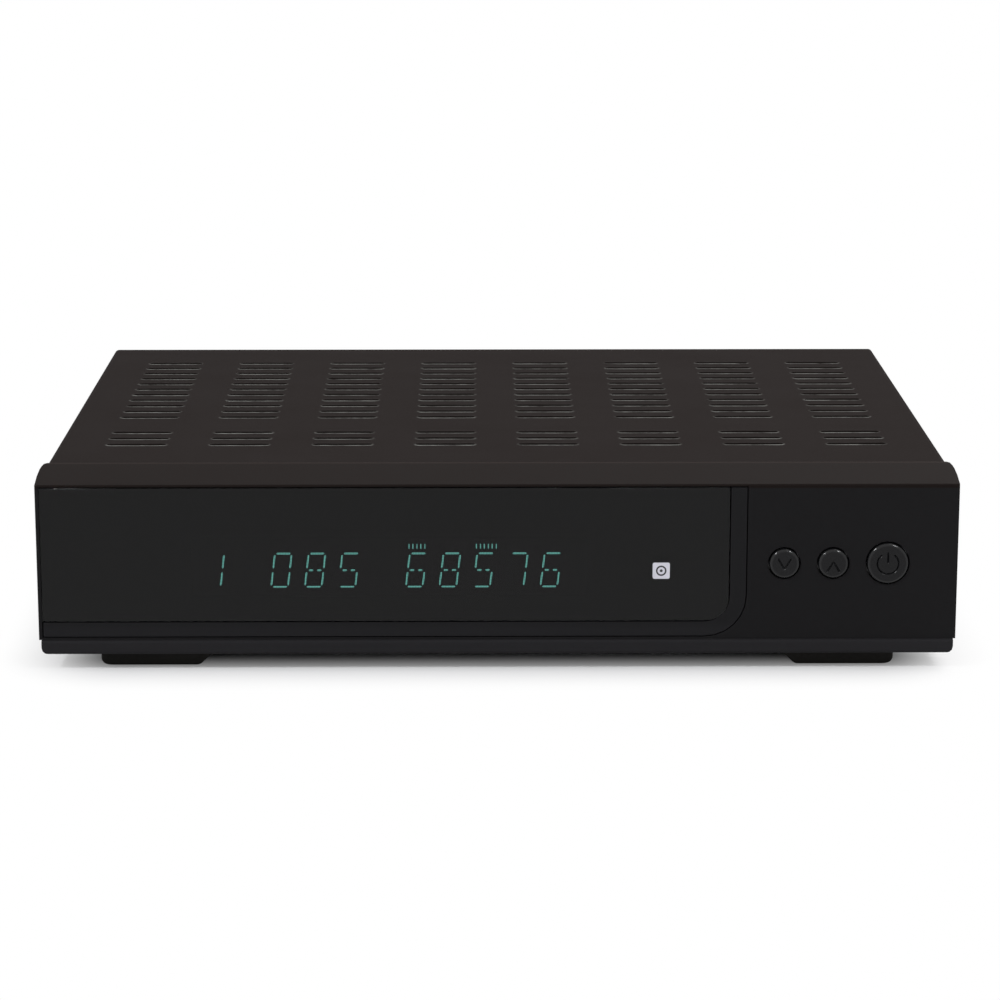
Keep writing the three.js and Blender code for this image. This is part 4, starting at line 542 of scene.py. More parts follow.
def addPiece(name, vertices, faces, finish, node, replace=False, slot=None, smooth=True, mergeAt=2e-7, mask=None,
             sharpDeg=42):
    mesh = bpy.data.meshes.new(name)
    points = np.asarray(vertices, float).reshape(-1, 3).tolist()
    mesh.from_pydata(points, [], [np.asarray(face).tolist() for face in faces])
    if mask is not None:
        mesh.attributes.new("wear", "FLOAT", "POINT").data.foreach_set("value", np.ravel(mask).astype(np.float32))
    shape = bmesh.new()
    shape.from_mesh(mesh)
    bmesh.ops.remove_doubles(shape, verts=shape.verts, dist=mergeAt)
    bmesh.ops.dissolve_degenerate(shape, edges=shape.edges, dist=mergeAt / 2)
    bmesh.ops.recalc_face_normals(shape, faces=shape.faces)
    shape.to_mesh(mesh)
    shape.free()
    mesh.polygons.foreach_set("use_smooth", np.full(len(mesh.polygons), smooth))
    if smooth:
        mesh.set_sharp_from_angle(angle=math.radians(sharpDeg))
    mesh.materials.append(finishes[finish])
    piece = newObject(name, mesh)
    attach(piece, bodyOfNode[node])
    if replace:
        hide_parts(node)


# main_board, "Cover" -> mainBoardCover
def pieceName(node, ending=""):
    words = node.split("_")
    return words[0] + "".join(word.capitalize() for word in words[1:]) + ending


def boxOf(node):
    low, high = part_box(node)
    return np.array(low), np.array(high)


# Middle of a part, and the level of its mouth on the rear side
def mouthOf(node):
    low, high = boxOf(node)
    return (low + high) / 2, high[1]


# Local axes of a piece: u and v lie in its face, and w runs inwards from the face at the given level.
def facing(direction, level):
    places = {
        "front": lambda u, v, w: (u, level + w, v),
        "rear": lambda u, v, w: (u, level - w, v),
        "down": lambda u, v, w: (u, v, level + w),
        "left": lambda u, v, w: (level + w, u, v),
        "right": lambda u, v, w: (level - w, u, v),
    }
    return lambda u, v, w: together(*places[direction](u, v, w))


# Edge of a plate as rows of (inset, depth): inset = e (1 - sin a), depth = e (1 - cos a) at both faces, and one
# more row just inside each face that keeps the flat shading flat.
def plateEdge(thickness, edge, steps=3, support=0.00003):
    turn = np.linspace(0, math.pi / 2, steps + 1)
    upper = np.stack([edge * (1 - np.sin(turn)), edge * (1 - np.cos(turn))], -1)
    lower = upper[::-1] * (1, -1) + (0, thickness)
    return np.vstack([[edge + support, 0], upper, lower, [edge + support, thickness]])


# Outward normals of a closed outline, n = 2 (a + b) / |a + b|^2 from the unit normals a and b of the two edges
# that meet, so an inset keeps its width round corners.
def outlineNormals(points):
    edges = np.roll(points, -1, 0) - points
    ahead = np.stack([edges[:, 1], -edges[:, 0]], -1) / np.linalg.norm(edges, axis=1)[:, None]
    total = ahead + np.roll(ahead, 1, 0)
    return 2 * total / (total ** 2).sum(1)[:, None]


# A section of (inset, depth) carried round an outline P, as P - inset n at each depth.
def carried(outline, section):
    rings = outline[None] - section[:, :1, None] * outlineNormals(outline)[None]
    return rings[..., 0], rings[..., 1], section[:, 1:]


# A closed outline with each corner P rounded: (1-s)^2 A + 2 s (1-s) P + s^2 B, with A and B a radius away from P.
def roundedOutline(points, radii, steps=6):
    points = np.asarray(points, float)
    radii = np.broadcast_to(np.asarray(radii, float), len(points))
    before, after = np.roll(points, 1, 0) - points, np.roll(points, -1, 0) - points
    first = points + before * (radii / np.linalg.norm(before, axis=1))[:, None]
    last = points + after * (radii / np.linalg.norm(after, axis=1))[:, None]
    s = np.linspace(0, 1, steps + 1)[None, :, None]
    curves = (1 - s) ** 2 * first[:, None] + 2 * s * (1 - s) * points[:, None] + s ** 2 * last[:, None]
    keep = np.repeat(radii > 0, steps + 1) | (np.arange(len(points) * (steps + 1)) % (steps + 1) == 0)
    return curves.reshape(-1, 2)[keep]


def rectangle(u0, u1, v0, v1, radius=0.0, steps=6):
    return roundedOutline([(u0, v0), (u1, v0), (u1, v1), (u0, v1)], radius, steps)


# The outline carried through a section and closed by two flat faces
def liddedPiece(name, outline, section, place, finish, node, **rest):
    count = len(outline)
    faces = list(gridQuads(len(section), count, closeColumns=True))
    faces += [np.arange(count), np.arange(count) + (len(section) - 1) * count]
    addPiece(name, place(*carried(outline, section)), faces, finish, node, **rest)


def platePiece(name, outline, thickness, edge, *where, **rest):
    liddedPiece(name, outline, plateEdge(thickness, edge), *where, **rest)


# A ring: a closed section carried round the outline.
def ringPiece(name, outline, section, place, finish, node, **rest):
    faces = gridQuads(len(section), len(outline), closeRows=True, closeColumns=True)
    addPiece(name, place(*carried(outline, section)), faces, finish, node, **rest)


# Several plain blocks in one piece, each from its low and high corner.
def blockPiece(name, lows, highs, finish, node, **rest):
    share = np.array([[i & 1, i >> 1 & 1, i >> 2 & 1] for i in range(8)])
    points = lows[:, None] + share[None] * (highs - lows)[:, None]
    quads = [[0, 2, 3, 1], [4, 5, 7, 6], [0, 1, 5, 4], [2, 6, 7, 3], [0, 4, 6, 2], [1, 3, 7, 5]]
    addPiece(name, points, repeated(quads, 8, len(lows)), finish, node, smooth=False, **rest)


# A profile (r, w) carried round its axis as (r cos t, r sin t).
def turned(profile, steps):
    turn = np.linspace(0, 2 * math.pi, steps, endpoint=False)[None]
    return profile[:, :1] * np.cos(turn), profile[:, :1] * np.sin(turn)


# The depth w is the profile's own, or is given for each point where it changes round the axis.
def turnedPiece(name, profile, middle, place, finish, node, steps=48, w=None, **rest):
    u, v = turned(profile, steps)
    points = place(middle[0] + u, middle[-1] + v, profile[:, 1:] if w is None else w)
    addPiece(name, points, gridQuads(len(profile), steps, closeColumns=True), finish, node, **rest)


# Distance from points (u, v) to the nearest of some straight strokes.
def strokeDistance(u, v, strokes):
    strokes = np.asarray(strokes, float)
    start, run = strokes[:, :2], strokes[:, 2:] - strokes[:, :2]
    offset = np.stack([u, v], -1)[..., None, :] - start
    share = np.clip((offset * run).sum(-1) / (run ** 2).sum(-1), 0, 1)
    return np.linalg.norm(offset - share[..., None] * run, axis=-1).min(-1)


# The smoked window keeps a plain transmission. Its polish has faint clouding.
windowValues = {"edge": 0.00018, "cornerRadius": 0.007, "cornerSteps": 24, "leftReach": 0.00024,
                "color": (0.075, 0.075, 0.08),
                "surface": {"roughness": 0.035, "specular": 0.5, "grain": 900.0, "tone": 0.02, "spread": 0.03,
                            "depth": 0.000001, "strength": 0.1, "Transmission_Weight": 1.0, "IOR": 1.29}}


def makeWindow():
    values = windowValues
    plastic("smokedWindow", values["color"], **values["surface"])
    low, high = boxOf("display_window")
    left, right, bottom, top = low[0] - values["leftReach"], high[0], low[2], high[2]
    outline = roundedOutline([(left, bottom), (right, bottom), (right, top), (left, top)],
                             [0, values["cornerRadius"], 0, 0], values["cornerSteps"])
    platePiece("windowPane", outline, high[1] - low[1], values["edge"], facing("front", low[1]), "smokedWindow",
               "display_window", replace=True)


makeWindow()


# Cover: a bent sheet with 8 columns of slots. A slot's wall is a stadium, and its upper rim rolls over.
coverValues = {"rim": [(0.00085, 0.0), (0.0008, 0.0), (0.0006, 0.00004), (0.0004, 0.00012), (0.00022, 0.00014),
                       (0.00008, 0.0001), (0.00001, -0.00002), (0.0, -0.00012)],
               "rimMask": [0.0, 0.0, 0.7, 1.0, 0.8, 0.4, 0.2, 0.1], "farMask": 0.14,
               "lowerRim": 0.0001, "support": 0.00004, "endEdge": 0.00016, "bend": 0.0016, "sheet": 0.0008,
               "columns": 8, "columnPitch": 0.0301, "slotLength": 0.0172, "slotWidth": 0.0023, "firstRow": 0.0261,
               "frontRows": 3, "frontPitch": 0.00865, "rearRows": 11, "rearPitch": 0.00893, "groupGap": 0.0227,
               "endSteps": 8, "bendSteps": 10, "edgeSteps": 4, "lipDrop": 0.0089, "lipInset": 0.004,
               "lipCorner": 0.0012}


# Each cell is a slot in a rectangle of half size hx by hy. At angle a of a slot's end the wall lies at
# (c + (r + d) cos a, (r + d) sin a), with c to the end's middle, radius r and offset d, and the cell's border at
# (hx, hy a / 90). The rim's table gives offset and height of a low rolled bead, and its mask a painted highlight
# that is full on the bead's near side and faint on its far side.
def slotCells(centres, halfSize, top):
    values = coverValues
    turn = np.linspace(-math.pi / 2, math.pi / 2, values["endSteps"] + 1)
    radius = values["slotWidth"] / 2
    straight = values["slotLength"] / 2 - radius
    side = np.stack([np.cos(turn), np.sin(turn)], -1)
    normal = np.vstack([side, -side])
    core = np.repeat([[straight, 0], [-straight, 0]], len(turn), 0)
    rim = np.stack([np.full(len(turn), halfSize[0]), halfSize[1] * turn / (math.pi / 2)], -1)
    border = np.vstack([rim, -rim])
    bow = np.linspace(math.pi / 2, 0, values["edgeSteps"])[:, None]
    lower = values["lowerRim"] * np.hstack([1 - np.sin(bow), 1 - np.cos(bow)]) - (0, values["sheet"])
    rows = np.vstack([values["rim"], lower, [values["lowerRim"] + values["support"], -values["sheet"]]])
    flat = core[None] + normal[None] * (radius + rows[:, :1, None])
    flat = np.concatenate([border[None], flat, border[None]])
    level = np.concatenate([[0], rows[:, 1], [-values["sheet"]]]) + top
    cell = together(flat[..., 0], flat[..., 1], level[:, None])
    shift = np.insert(centres, 2, 0, axis=1)
    # painted highlight along the rim: full where the wall faces the front, cut to a faint share on the far side
    mask = np.zeros(flat.shape[:2])
    mask[1:len(values["rimMask"]) + 1] = np.array(values["rimMask"])[:, None]
    mask = mask * np.clip(-normal[:, 1], values["farMask"], 1)
    faces = repeated(gridQuads(*mask.shape, closeColumns=True), mask.size, len(centres))
    return (cell[None] + shift[:, None, None]).reshape(-1, 3), faces, border, np.tile(mask.ravel(), len(centres))


# The sheet's section runs side, quarter bend, top, bend, side, as (x, z) with the outward normal.
def coverSection(half, bottom, top):
    bend, near = coverValues["bend"], coverValues["support"]
    turn = np.linspace(math.pi, math.pi / 2, coverValues["bendSteps"] + 1)
    normal = np.stack([np.cos(turn), np.sin(turn)], -1)
    arc = np.array([-half + bend, top - bend]) + bend * normal
    points = np.vstack([[-half, bottom], [-half, top - bend - near], arc, [-half + bend + near, top]])
    normals = np.vstack([[-1, 0], [-1, 0], normal, [0, 1]])
    return np.vstack([points, points[::-1] * (-1, 1)]), np.vstack([normals, normals[::-1] * (-1, 1)])


# The section is swept through a closed ring of (depth in the sheet, y): depth = e (1 - cos a), y = e (1 - sin a)
# at both ends, so the sheet's cut ends are softly rounded. The flat top is then filled with slotted cells.
def makeCover():
    values = coverValues
    low, high = boxOf("top_cover")
    half, top, bottom, front, back = high[0], high[2], low[2], low[1], high[1]
    section, normals = coverSection(half, bottom, top)
    edge, near, sheet, pitchX = values["endEdge"], values["support"], values["sheet"], values["columnPitch"]
    bow = np.linspace(0, math.pi / 2, values["edgeSteps"])[:, None]
    frontEnd = np.vstack([[[0, edge + near]], edge * np.hstack([1 - np.cos(bow), 1 - np.sin(bow)])])
    frontEnd = np.vstack([frontEnd, (frontEnd * (-1, 1) + (sheet, 0))[::-1]])
    ring = np.vstack([frontEnd + (0, front), (frontEnd * (1, -1) + (0, back))[::-1]])
    flat = section[None] - normals[None] * ring[:, :1, None]
    points = together(flat[..., 0], ring[:, 1:], flat[..., 1])
    quads = gridQuads(len(ring), len(section), closeRows=True)
    row, column = np.divmod(np.arange(len(quads)), len(section) - 1)
    isFace = (row == len(frontEnd) - 1) | (row == len(ring) - 1)
    quads = quads[~((column == len(section) // 2 - 1) & isFace)]
    ends = [np.arange(len(ring)) * len(section), np.arange(len(ring)) * len(section) + len(section) - 1]

    columns = centredRow(values["columns"], pitchX)
    frontRows = front + values["firstRow"] + np.arange(values["frontRows"]) * values["frontPitch"]
    rearRows = frontRows[-1] + values["groupGap"] + np.arange(values["rearRows"]) * values["rearPitch"]
    allPoints, allFaces, total = [points.reshape(-1, 3)], [quads], points.size // 3
    masks, sides, corners = [np.zeros(total)], [], []
    for rows, pitch in ((frontRows, values["frontPitch"]), (rearRows, values["rearPitch"])):
        centres = np.stack(np.meshgrid(columns, rows), -1).reshape(-1, 2)
        cells, faces, border, mask = slotCells(centres, (pitchX / 2, pitch / 2), top)
        masks.append(mask)
        allFaces.append(faces + total)
        allPoints.append(cells)
        total += len(cells)
        steps = border[:values["endSteps"] + 1, 1]
        sides.append(np.append((rows[:, None] + steps[None, :-1]).ravel(), rows[-1] + steps[-1]))
        corners.append((rows[0] - pitch / 2, rows[-1] + pitch / 2))
    cuts = np.append(columns - pitchX / 2, columns[-1] + pitchX / 2)
    edgeX, firstY, lastY = half - values["bend"] - near, front + edge + near, back - edge - near

    # what is left of the top lies in front of, between, behind and beside the two groups of cells
    sideY = np.concatenate(sides)
    patches = [
        np.vstack([[[-edgeX, firstY], [edgeX, firstY]], together(cuts[::-1], corners[0][0])]),
        np.vstack([together(cuts, corners[0][1]), together(cuts[::-1], corners[1][0])]),
        np.vstack([together(cuts, corners[1][1]), [[edgeX, lastY], [-edgeX, lastY]]]),
        np.vstack([[[-edgeX, lastY], [-edgeX, firstY]], together(cuts[0], sideY)]),
        np.vstack([[[edgeX, firstY], [edgeX, lastY]], together(cuts[-1], sideY[::-1])]),
    ]
    caps = []
    for patch in patches:
        for level in (top, top - sheet):
            allPoints.append(np.insert(patch, 2, level, axis=1))
            caps.append(np.arange(len(patch)) + total)
            masks.append(np.zeros(len(patch)))
            total += len(patch)
    faces = [face for part in allFaces for face in part] + caps + ends
    addPiece("slottedCover", np.vstack(allPoints), faces, "coverPaint", "top_cover", replace=True, mergeAt=1e-6,
             mask=np.concatenate(masks))
    lip = rectangle(-half + values["lipInset"], half - values["lipInset"], top - values["lipDrop"],
                    top - sheet / 2, values["lipCorner"])
    platePiece("coverRearLip", lip, sheet, edge, facing("rear", back), "coverPaint", "top_cover")


makeCover()
print("receiver: window and slotted cover made")


# Display figures: each is made of thin lit bars, slanted by x' = x + z tan(slant), seen through fine hatching.
figureValues = {"slantDeg": 7.0, "pitch": 0.009565, "stroke": 0.0005, "thickness": 0.00012, "base": 0.02323,
                "firstX": -0.08345, "color": (0.3, 1.0, 0.82), "unlit": (0.02, 0.06, 0.05, 1), "strength": 6.4,
                "hatching": 7000.0, "glowMean": 0.55, "glowSwing": 0.45, "roughness": 0.5, "ticks": {6: 5, 8: 6},
                "tickStart": 0.0008, "tickPitch": 0.00112, "tickBase": 0.03435, "tickHeight": 0.0014,
                "tickStroke": 0.00032}
barEnds = {
    "a": (0.4, 9.74, 4.5, 9.74), "g1": (0.5, 4.85, 1.9, 4.85), "g2": (2.85, 4.85, 4.2, 4.85),
    "d": (0.5, 0.0, 4.5, 0.0), "f": (0.0, 5.42, 0.0, 9.35), "e": (0.0, 0.43, 0.0, 4.32),
    "b": (4.75, 5.42, 4.75, 9.35), "c": (4.75, 0.43, 4.75, 4.32),
}
figureBars = {
    "0": "a b c d e f", "1": "b c", "5": "a f g1 g2 c d", "6": "a f g1 g2 e c d", "7": "a b c",
    "8": "a b c d e f g1 g2",
}
figureRow = {0: "1", 2: "0", 3: "8", 4: "5", 6: "6", 7: "8", 8: "5", 9: "7", 10: "6"}


# The glow flickers along each bar, 0.55 + 0.45 sin(k (x + z)) sin(k (x - z)), as light does behind a fine mesh.
def makeGlow():
    values = figureValues
    finishes["figureGlow"], tree, shader = newMaterial("figureGlow")
    axes = axesOf(objectCoordinates(tree))
    waves = [mathNode("SINE", times(mixed(axes["X"], axes["Z"]), values["hatching"])) for mixed in (plus, minus)]
    swing = times(times(*waves), values["glowSwing"])
    feed(shader, {"Emission Color": scaledColor(values["color"], plus(swing, values["glowMean"])),
                  "Emission Strength": values["strength"], "Base Color": values["unlit"],
                  "Roughness": values["roughness"]})


# Each bar is a flat hexagon: its ends draw in to a point by half the stroke, along the bar.
def makeFigures():
    values = figureValues
    makeGlow()
    rows = np.array([(*barEnds[bar], cell) for cell, figure in figureRow.items()
                     for bar in figureBars[figure].split()])
    start, end = rows[:, :2] * mm, rows[:, 2:4] * mm
    along = (end - start) / np.linalg.norm(end - start, axis=1)[:, None]
    across = np.stack([-along[:, 1], along[:, 0]], -1) * values["stroke"] / 2
    inner = along * values["stroke"] / 2
    corners = np.stack([start, start + inner + across, end - inner + across, end, end - inner - across,
                        start + inner - across], 1)
    slant = math.tan(math.radians(values["slantDeg"]))
    corners[..., 0] += (values["firstX"] + rows[:, 4] * values["pitch"])[:, None] + corners[..., 1] * slant
    corners[..., 1] += values["base"]
    front, half = boxOf("display_tube")[0][1], values["thickness"] / 2
    level = np.array([front - half, front + half])[None, :, None]
    points = together(corners[:, None, :, 0], level, corners[:, None, :, 1])
    sides = corners.shape[1]
    faces = [*repeated(gridQuads(2, sides, closeColumns=True), 2 * sides, len(rows)),
             *repeated(np.arange(2 * sides).reshape(2, sides), 2 * sides, len(rows))]
    addPiece("displayFigures", points, faces, "figureGlow", "display_tube", smooth=False)

    # small level ticks above two of the figures
    x = np.concatenate([values["firstX"] + cell * values["pitch"] + values["tickStart"]
                        + np.arange(count) * values["tickPitch"] for cell, count in values["ticks"].items()])
    lows = together(x, front - half, values["tickBase"])
    size = (values["tickStroke"], values["thickness"], values["tickHeight"])
    blockPiece("displayTicks", lows, lows + size, "figureGlow", "display_tube")


# Pale mark on the window: a thin rounded square with a plain dark ring round a dot
markValues = {"x": (0.0438, 0.04865), "z": (0.0267, 0.0314), "proud": 0.00004, "thickness": 0.00012,
              "radius": 0.0006, "edge": 0.00001, "ring": (0.00105, 0.0015), "ringSteps": 48, "dot": 0.00042,
              "dotSteps": 24, "inkLift": 0.00006}


def makeMark():
    values = markValues
    face, proud, dot = boxOf("display_window")[0][1], values["proud"], values["dot"]
    platePiece("paleMark", rectangle(*values["x"], *values["z"], values["radius"]), values["thickness"],
               values["edge"], facing("front", face - proud), "paleInk", "display_window", slot="white")
    middle = (sum(values["x"]) / 2, sum(values["z"]) / 2)
    inner, outer = values["ring"]
    outlines = {"markRing": ([[inner, 0], [outer, 0], [outer, proud], [inner, proud], [inner, 0]],
                             values["ringSteps"]),
                "markDot": ([[0, 0], [dot, 0], [dot, proud], [0, proud]], values["dotSteps"])}
    for name, (outline, steps) in outlines.items():
        turnedPiece(name, np.array(outline) - (0, values["inkLift"]), middle, facing("front", face), "darkInk",
                    "display_window", steps=steps, slot="black_plastic")


makeFigures()
makeMark()
print("receiver: display figures and mark made")

# Round caps, each with a cut-in sign: an arrow down, an arrow up, or a broken ring with a bar
capValues = {"face": -0.10205, "flange": 0.0028, "flangeThickness": 0.001, "flangeWidth": 0.0015, "stem": 0.002,
             "crown": 0.00022, "edge": 0.00095, "edgeSteps": 7, "flatStep": 0.0001, "soft": 0.00012,
             "support": 0.00002, "turns": 180, "sink": 0.00038, "stroke": 0.0007, "signRing": 0.003,
             "signGapDeg": 35, "ringPitch": 0.0006, "ringDepth": 0.000003, "polish": 0.3, "polishRise": 3}
capSigns = {
    "button_channel_down": [(-1.75, 1.3, 0.0, -1.6), (0.0, -1.6, 1.75, 1.3)],
    "button_channel_up": [(-1.75, -2.3, 0.0, 0.6), (0.0, 0.6, 1.75, -2.3)],
    "button_power": [(0.0, 3.1, 0.0, 0.4)],
}


# A cap's section (r, w): crown w = c (r / R)^2, edge of radius e as w = c + e (1 - cos a), r = R - e (1 - sin a),
# then wall, flange and stem. The sign is a V-shaped groove, its depth d (1 - 2 distance / width), and fine turned
# rings stand on the face.
def makeCap(node):
    values = capValues
    low, high = boxOf(node)
    middle, front, back = (low + high) / 2, low[1], high[1]
    radius = (high[0] - low[0]) / 2 - values["flangeWidth"]
    edge, crown, soft = values["edge"], values["crown"], values["soft"]
    flat = np.linspace(0, radius - edge, int((radius - edge) / values["flatStep"]))
    bow = np.linspace(0, math.pi / 2, values["edgeSteps"])
    face = np.stack([flat, crown * (flat / radius) ** 2], -1)
    start = crown * ((radius - edge) / radius) ** 2
    turn = np.stack([radius - edge + edge * np.sin(bow), start + edge * (1 - np.cos(bow))], -1)[1:]
    flange = values["face"] + values["flange"] - front
    deep, wide, stem = flange + values["flangeThickness"], radius + values["flangeWidth"], values["stem"]
    rest = [[radius, flange - values["support"]], [radius, flange], [wide - soft, flange], [wide, flange + soft],
            [wide, deep - soft], [wide - soft, deep], [stem, deep], [stem, back - front], [0, back - front]]
    section = np.vstack([face, turn, rest])
    u, v = turned(section, values["turns"])
    away = strokeDistance(u, v, np.array(capSigns[node]) * mm)
    if node == "button_power":
        inGap = np.abs(np.arctan2(u, v)) < math.radians(values["signGapDeg"])
        away = np.minimum(away, np.where(inGap, np.inf, np.abs(section[:, :1] - values["signRing"])))
    onFace = (np.arange(len(section)) < len(face))[:, None]
    groove = np.clip(1 - 2 * away / values["stroke"], 0, 1)
    rings = values["ringDepth"] * np.sin(2 * math.pi * section[:, :1] / values["ringPitch"])
    w = section[:, 1:] + (values["sink"] * groove + rings) * onFace
    rubbed = np.clip((section[:, :1] - radius + edge) / edge * values["polishRise"], 0, 1)
    turnedPiece(pieceName(node, "Cap"), section, middle, facing("front", front), "capPlastic", node,
                steps=values["turns"], w=w, replace=True, mask=np.maximum(rubbed, groove) * values["polish"])


for capNode in capSigns:
    makeCap(capNode)
print("receiver: caps made")


# Moulded rubber feet. At height z the outer side stands back by R - sqrt(R^2 - (R - z)^2) below R, the other sides
# by the same with the small radius e, and the inner side slopes out from its lower edge by s z / h. The underside
# has a recess for the screw, c + r (cos a, sin a), its points at the angles of the outline's points.
footValues = {"outer": 0.1134, "inner": 0.08505, "slope": 0.0051, "outerRound": 0.0019, "edge": 0.0006,
              "corners": (0.0008, 0.002), "forward": 0.0032, "recess": 0.0036, "recessDepth": 0.0026,
              "shaft": 0.00175, "soft": 0.0002,
              "heights": [0, 0.00005, 0.0002, 0.0004, 0.0006, 0.001, 0.0014, 0.0019, 0.0049]}


def makeFoot(node):
    values = footValues
    low, high = boxOf(node)
    side = 1 if low[0] > 0 else -1
    front = low[1] - values["forward"] * ("front" in node)

    def roundBack(height, radius):
        return radius - math.sqrt(radius ** 2 - max(radius - height, 0) ** 2)

    rings = []
    for height in values["heights"] + [high[2]]:
        inset = roundBack(height, values["edge"])
        outer = values["outer"] - roundBack(height, values["outerRound"])
        inner = values["inner"] - values["slope"] * height / high[2] + inset
        first, last = values["corners"][::side]
        plan = rectangle(*sorted((side * inner, side * outer)), front + inset, high[1] - inset,
                         [first, last, last, first])
        rings.append(np.column_stack([plan, np.full(len(plan), height)]))
    screw = np.mean(boxOf(node.replace("foot_", "foot_screw_")), 0)[:2]
    away = rings[0][:, :2] - screw
    away = away / np.linalg.norm(away, axis=1)[:, None]
    shaft, recess, deep, soft = values["shaft"], values["recess"], values["recessDepth"], values["soft"]
    for radius, height in ((shaft, high[2]), (shaft, deep), (recess, deep), (recess, soft), (recess + soft, 0)):
        rings.append(np.column_stack([screw + radius * away, np.full(len(away), height)]))
    addPiece(pieceName(node), np.array(rings), gridQuads(len(rings), len(away), closeRows=True, closeColumns=True),
             "footRubber", node, replace=True)


for node in cadNodes:
    if node.startswith("foot_") and "screw" not in node:
        makeFoot(node)
print("receiver: feet made")


# Rear sockets. The aerial barrels carry a fine thread: r = R - d (1 - |2 frac(w / p) - 1|) along their length.
aerialValues = {"radius": 0.00475, "threadDepth": 0.0003, "threadPitch": 0.0008, "threadStart": 0.0006,
                "threadEnd": 0.0110, "bore": 0.0037, "boreDepth": 0.0012, "collar": 0.0064, "collarFront": 0.01175,
                "soft": 0.0002,
                "rowsPerTurn": 6, "contactSteps": 24,
                "insulator": [(0.55, 1.3), (0.55, 0.75), (0.7, 0.62), (3.5, 0.62), (3.66, 0.78), (3.66, 1.3),
                              (0.55, 1.3)],
                "contact": [(0, 1.15), (0.22, 1.15), (0.26, 0.8), (0.36, 0.7), (0.5, 0.8), (0.5, 1.3), (0, 1.3)]}


def makeAerialSocket(node):
    values = aerialValues
    low, high = boxOf(node)
    middle, length, place = (low + high) / 2, high[1] - low[1], facing("rear", high[1])
    radius, bore, deep, soft = values["radius"], values["bore"], values["boreDepth"], values["soft"]
    collar, collarFront = values["collar"], values["collarFront"]
    run = np.arange(values["threadStart"], values["threadEnd"], values["threadPitch"] / values["rowsPerTurn"])
    share = np.abs(2 * (run / values["threadPitch"] % 1) - 1)
    thread = np.stack([radius - values["threadDepth"] * (1 - share), run], -1)
    barrel = np.vstack([
        [[0, deep], [bore, deep], [bore, soft], [bore + soft, 0], [radius - 2 * soft, 0], [radius - soft, soft]],
        thread, [[radius - soft, values["threadEnd"] + soft], [radius - soft, collarFront],
                 [collar - soft, collarFront], [collar, collarFront + soft], [collar, length - soft],
                 [collar - soft, length], [0, length]]])
    turnedPiece(pieceName(node, "Barrel"), barrel, middle, place, "nickelPlate", node, replace=True)
    turnedPiece(pieceName(node, "Insulator"), np.array(values["insulator"]) * mm, middle, place, "whiteMoulding",
                node, slot="white")
    turnedPiece(pieceName(node, "Contact"), np.array(values["contact"]) * mm, middle, place, "goldContact", node,
                steps=values["contactSteps"])


# Phono sockets: a coloured core that spreads into a ring at the panel, a nickel sleeve and a spring contact
phonoValues = {
    "Core": [(0, 5.6), (1.58, 5.6), (1.6, 0.5), (1.75, 0.35), (3.1, 0.35), (3.27, 0.5), (3.27, 7.0), (4.7, 7.0),
             (4.9, 7.2), (4.9, 9.95), (4.15, 9.95), (4.15, 12.85), (0, 12.85)],
    "Sleeve": [(3.3, 0.2), (3.45, 0.0), (4.0, 0.0), (4.15, 0.15), (4.15, 6.98), (3.3, 6.98), (3.3, 0.2)],
    "Spring": [(1.25, 1.3), (1.3, 1.1), (1.5, 1.1), (1.56, 1.2), (1.56, 5.55), (1.25, 5.55), (1.25, 1.3)],
}
phonoColors = {"phono_socket_right": "redMoulding", "phono_socket_left": "whiteMoulding",
               "digital_audio_socket": "orangeMoulding", "phono_socket_picture": "yellowMoulding"}


def makePhonoSocket(node):
    middle, mouth = mouthOf(node)
    for ending, finish, steps in (("Core", phonoColors[node], 48), ("Sleeve", "nickelPlate", 48),
                                  ("Spring", "goldContact", 24)):
        turnedPiece(pieceName(node, ending), np.array(phonoValues[ending]) * mm, middle, facing("rear", mouth),
                    finish, node, steps=steps, replace=ending == "Core")


# A row of equal contacts, each a block from its low corner, in millimetres
def contactRow(name, node, x, y, z, size, slot=None):
    lows = together(x, y, z)
    blockPiece(name, lows * mm, (lows + size) * mm, "goldContact", node, slot=slot)


# Wide picture socket: a tin shroud in its channel with a turned-out frame, and two rows of spring contacts
wideValues = {"width": 46.0, "height": 15.0, "slant": 6.0, "corner": 0.6, "cornerSteps": 4, "middleUp": 10.0,
              "perRow": 10, "pitch": 3.81, "rowHalf": 2.8, "contactSide": -0.62, "contactDepth": 3.98,
              "contactSize": (0.42, 3.28, 3.6),
              "shroud": [(-1.2, -0.25), (0.32, -0.25), (0.32, 9.7), (0.04, 9.7), (0.04, -0.02), (-1.2, -0.02)]}


def makeWideSocket():
    values, node = wideValues, "av_socket_21_pin"
    middle, mouth = mouthOf(node)
    x, z = middle[0] / mm, boxOf(node)[0][2] / mm + values["middleUp"]
    half, rise, slant = values["width"] / 2, values["height"] / 2, values["slant"]
    corners = [(x - half, z - rise), (x + half, z - rise), (x + half, z + rise - slant),
               (x + half - slant, z + rise), (x - half, z + rise)]
    ringPiece("wideSocketShroud", roundedOutline(corners, values["corner"], values["cornerSteps"]) * mm,
              np.array(values["shroud"]) * mm, facing("rear", mouth), "tinPlate", node, slot="tinned")
    lower = centredRow(values["perRow"], values["pitch"])
    across = np.concatenate([lower - values["pitch"] / 2, lower])
    row = np.repeat([values["rowHalf"], -values["rowHalf"]], values["perRow"])
    size = values["contactSize"]
    contactRow("wideSocketContacts", node, x + across + values["contactSide"], mouth / mm - values["contactDepth"],
               z + row - size[2] / 2, size, "nickel")


tongueValues = {"corner": 0.15, "cornerSteps": 3, "edge": 0.1, "setBack": 0.95}


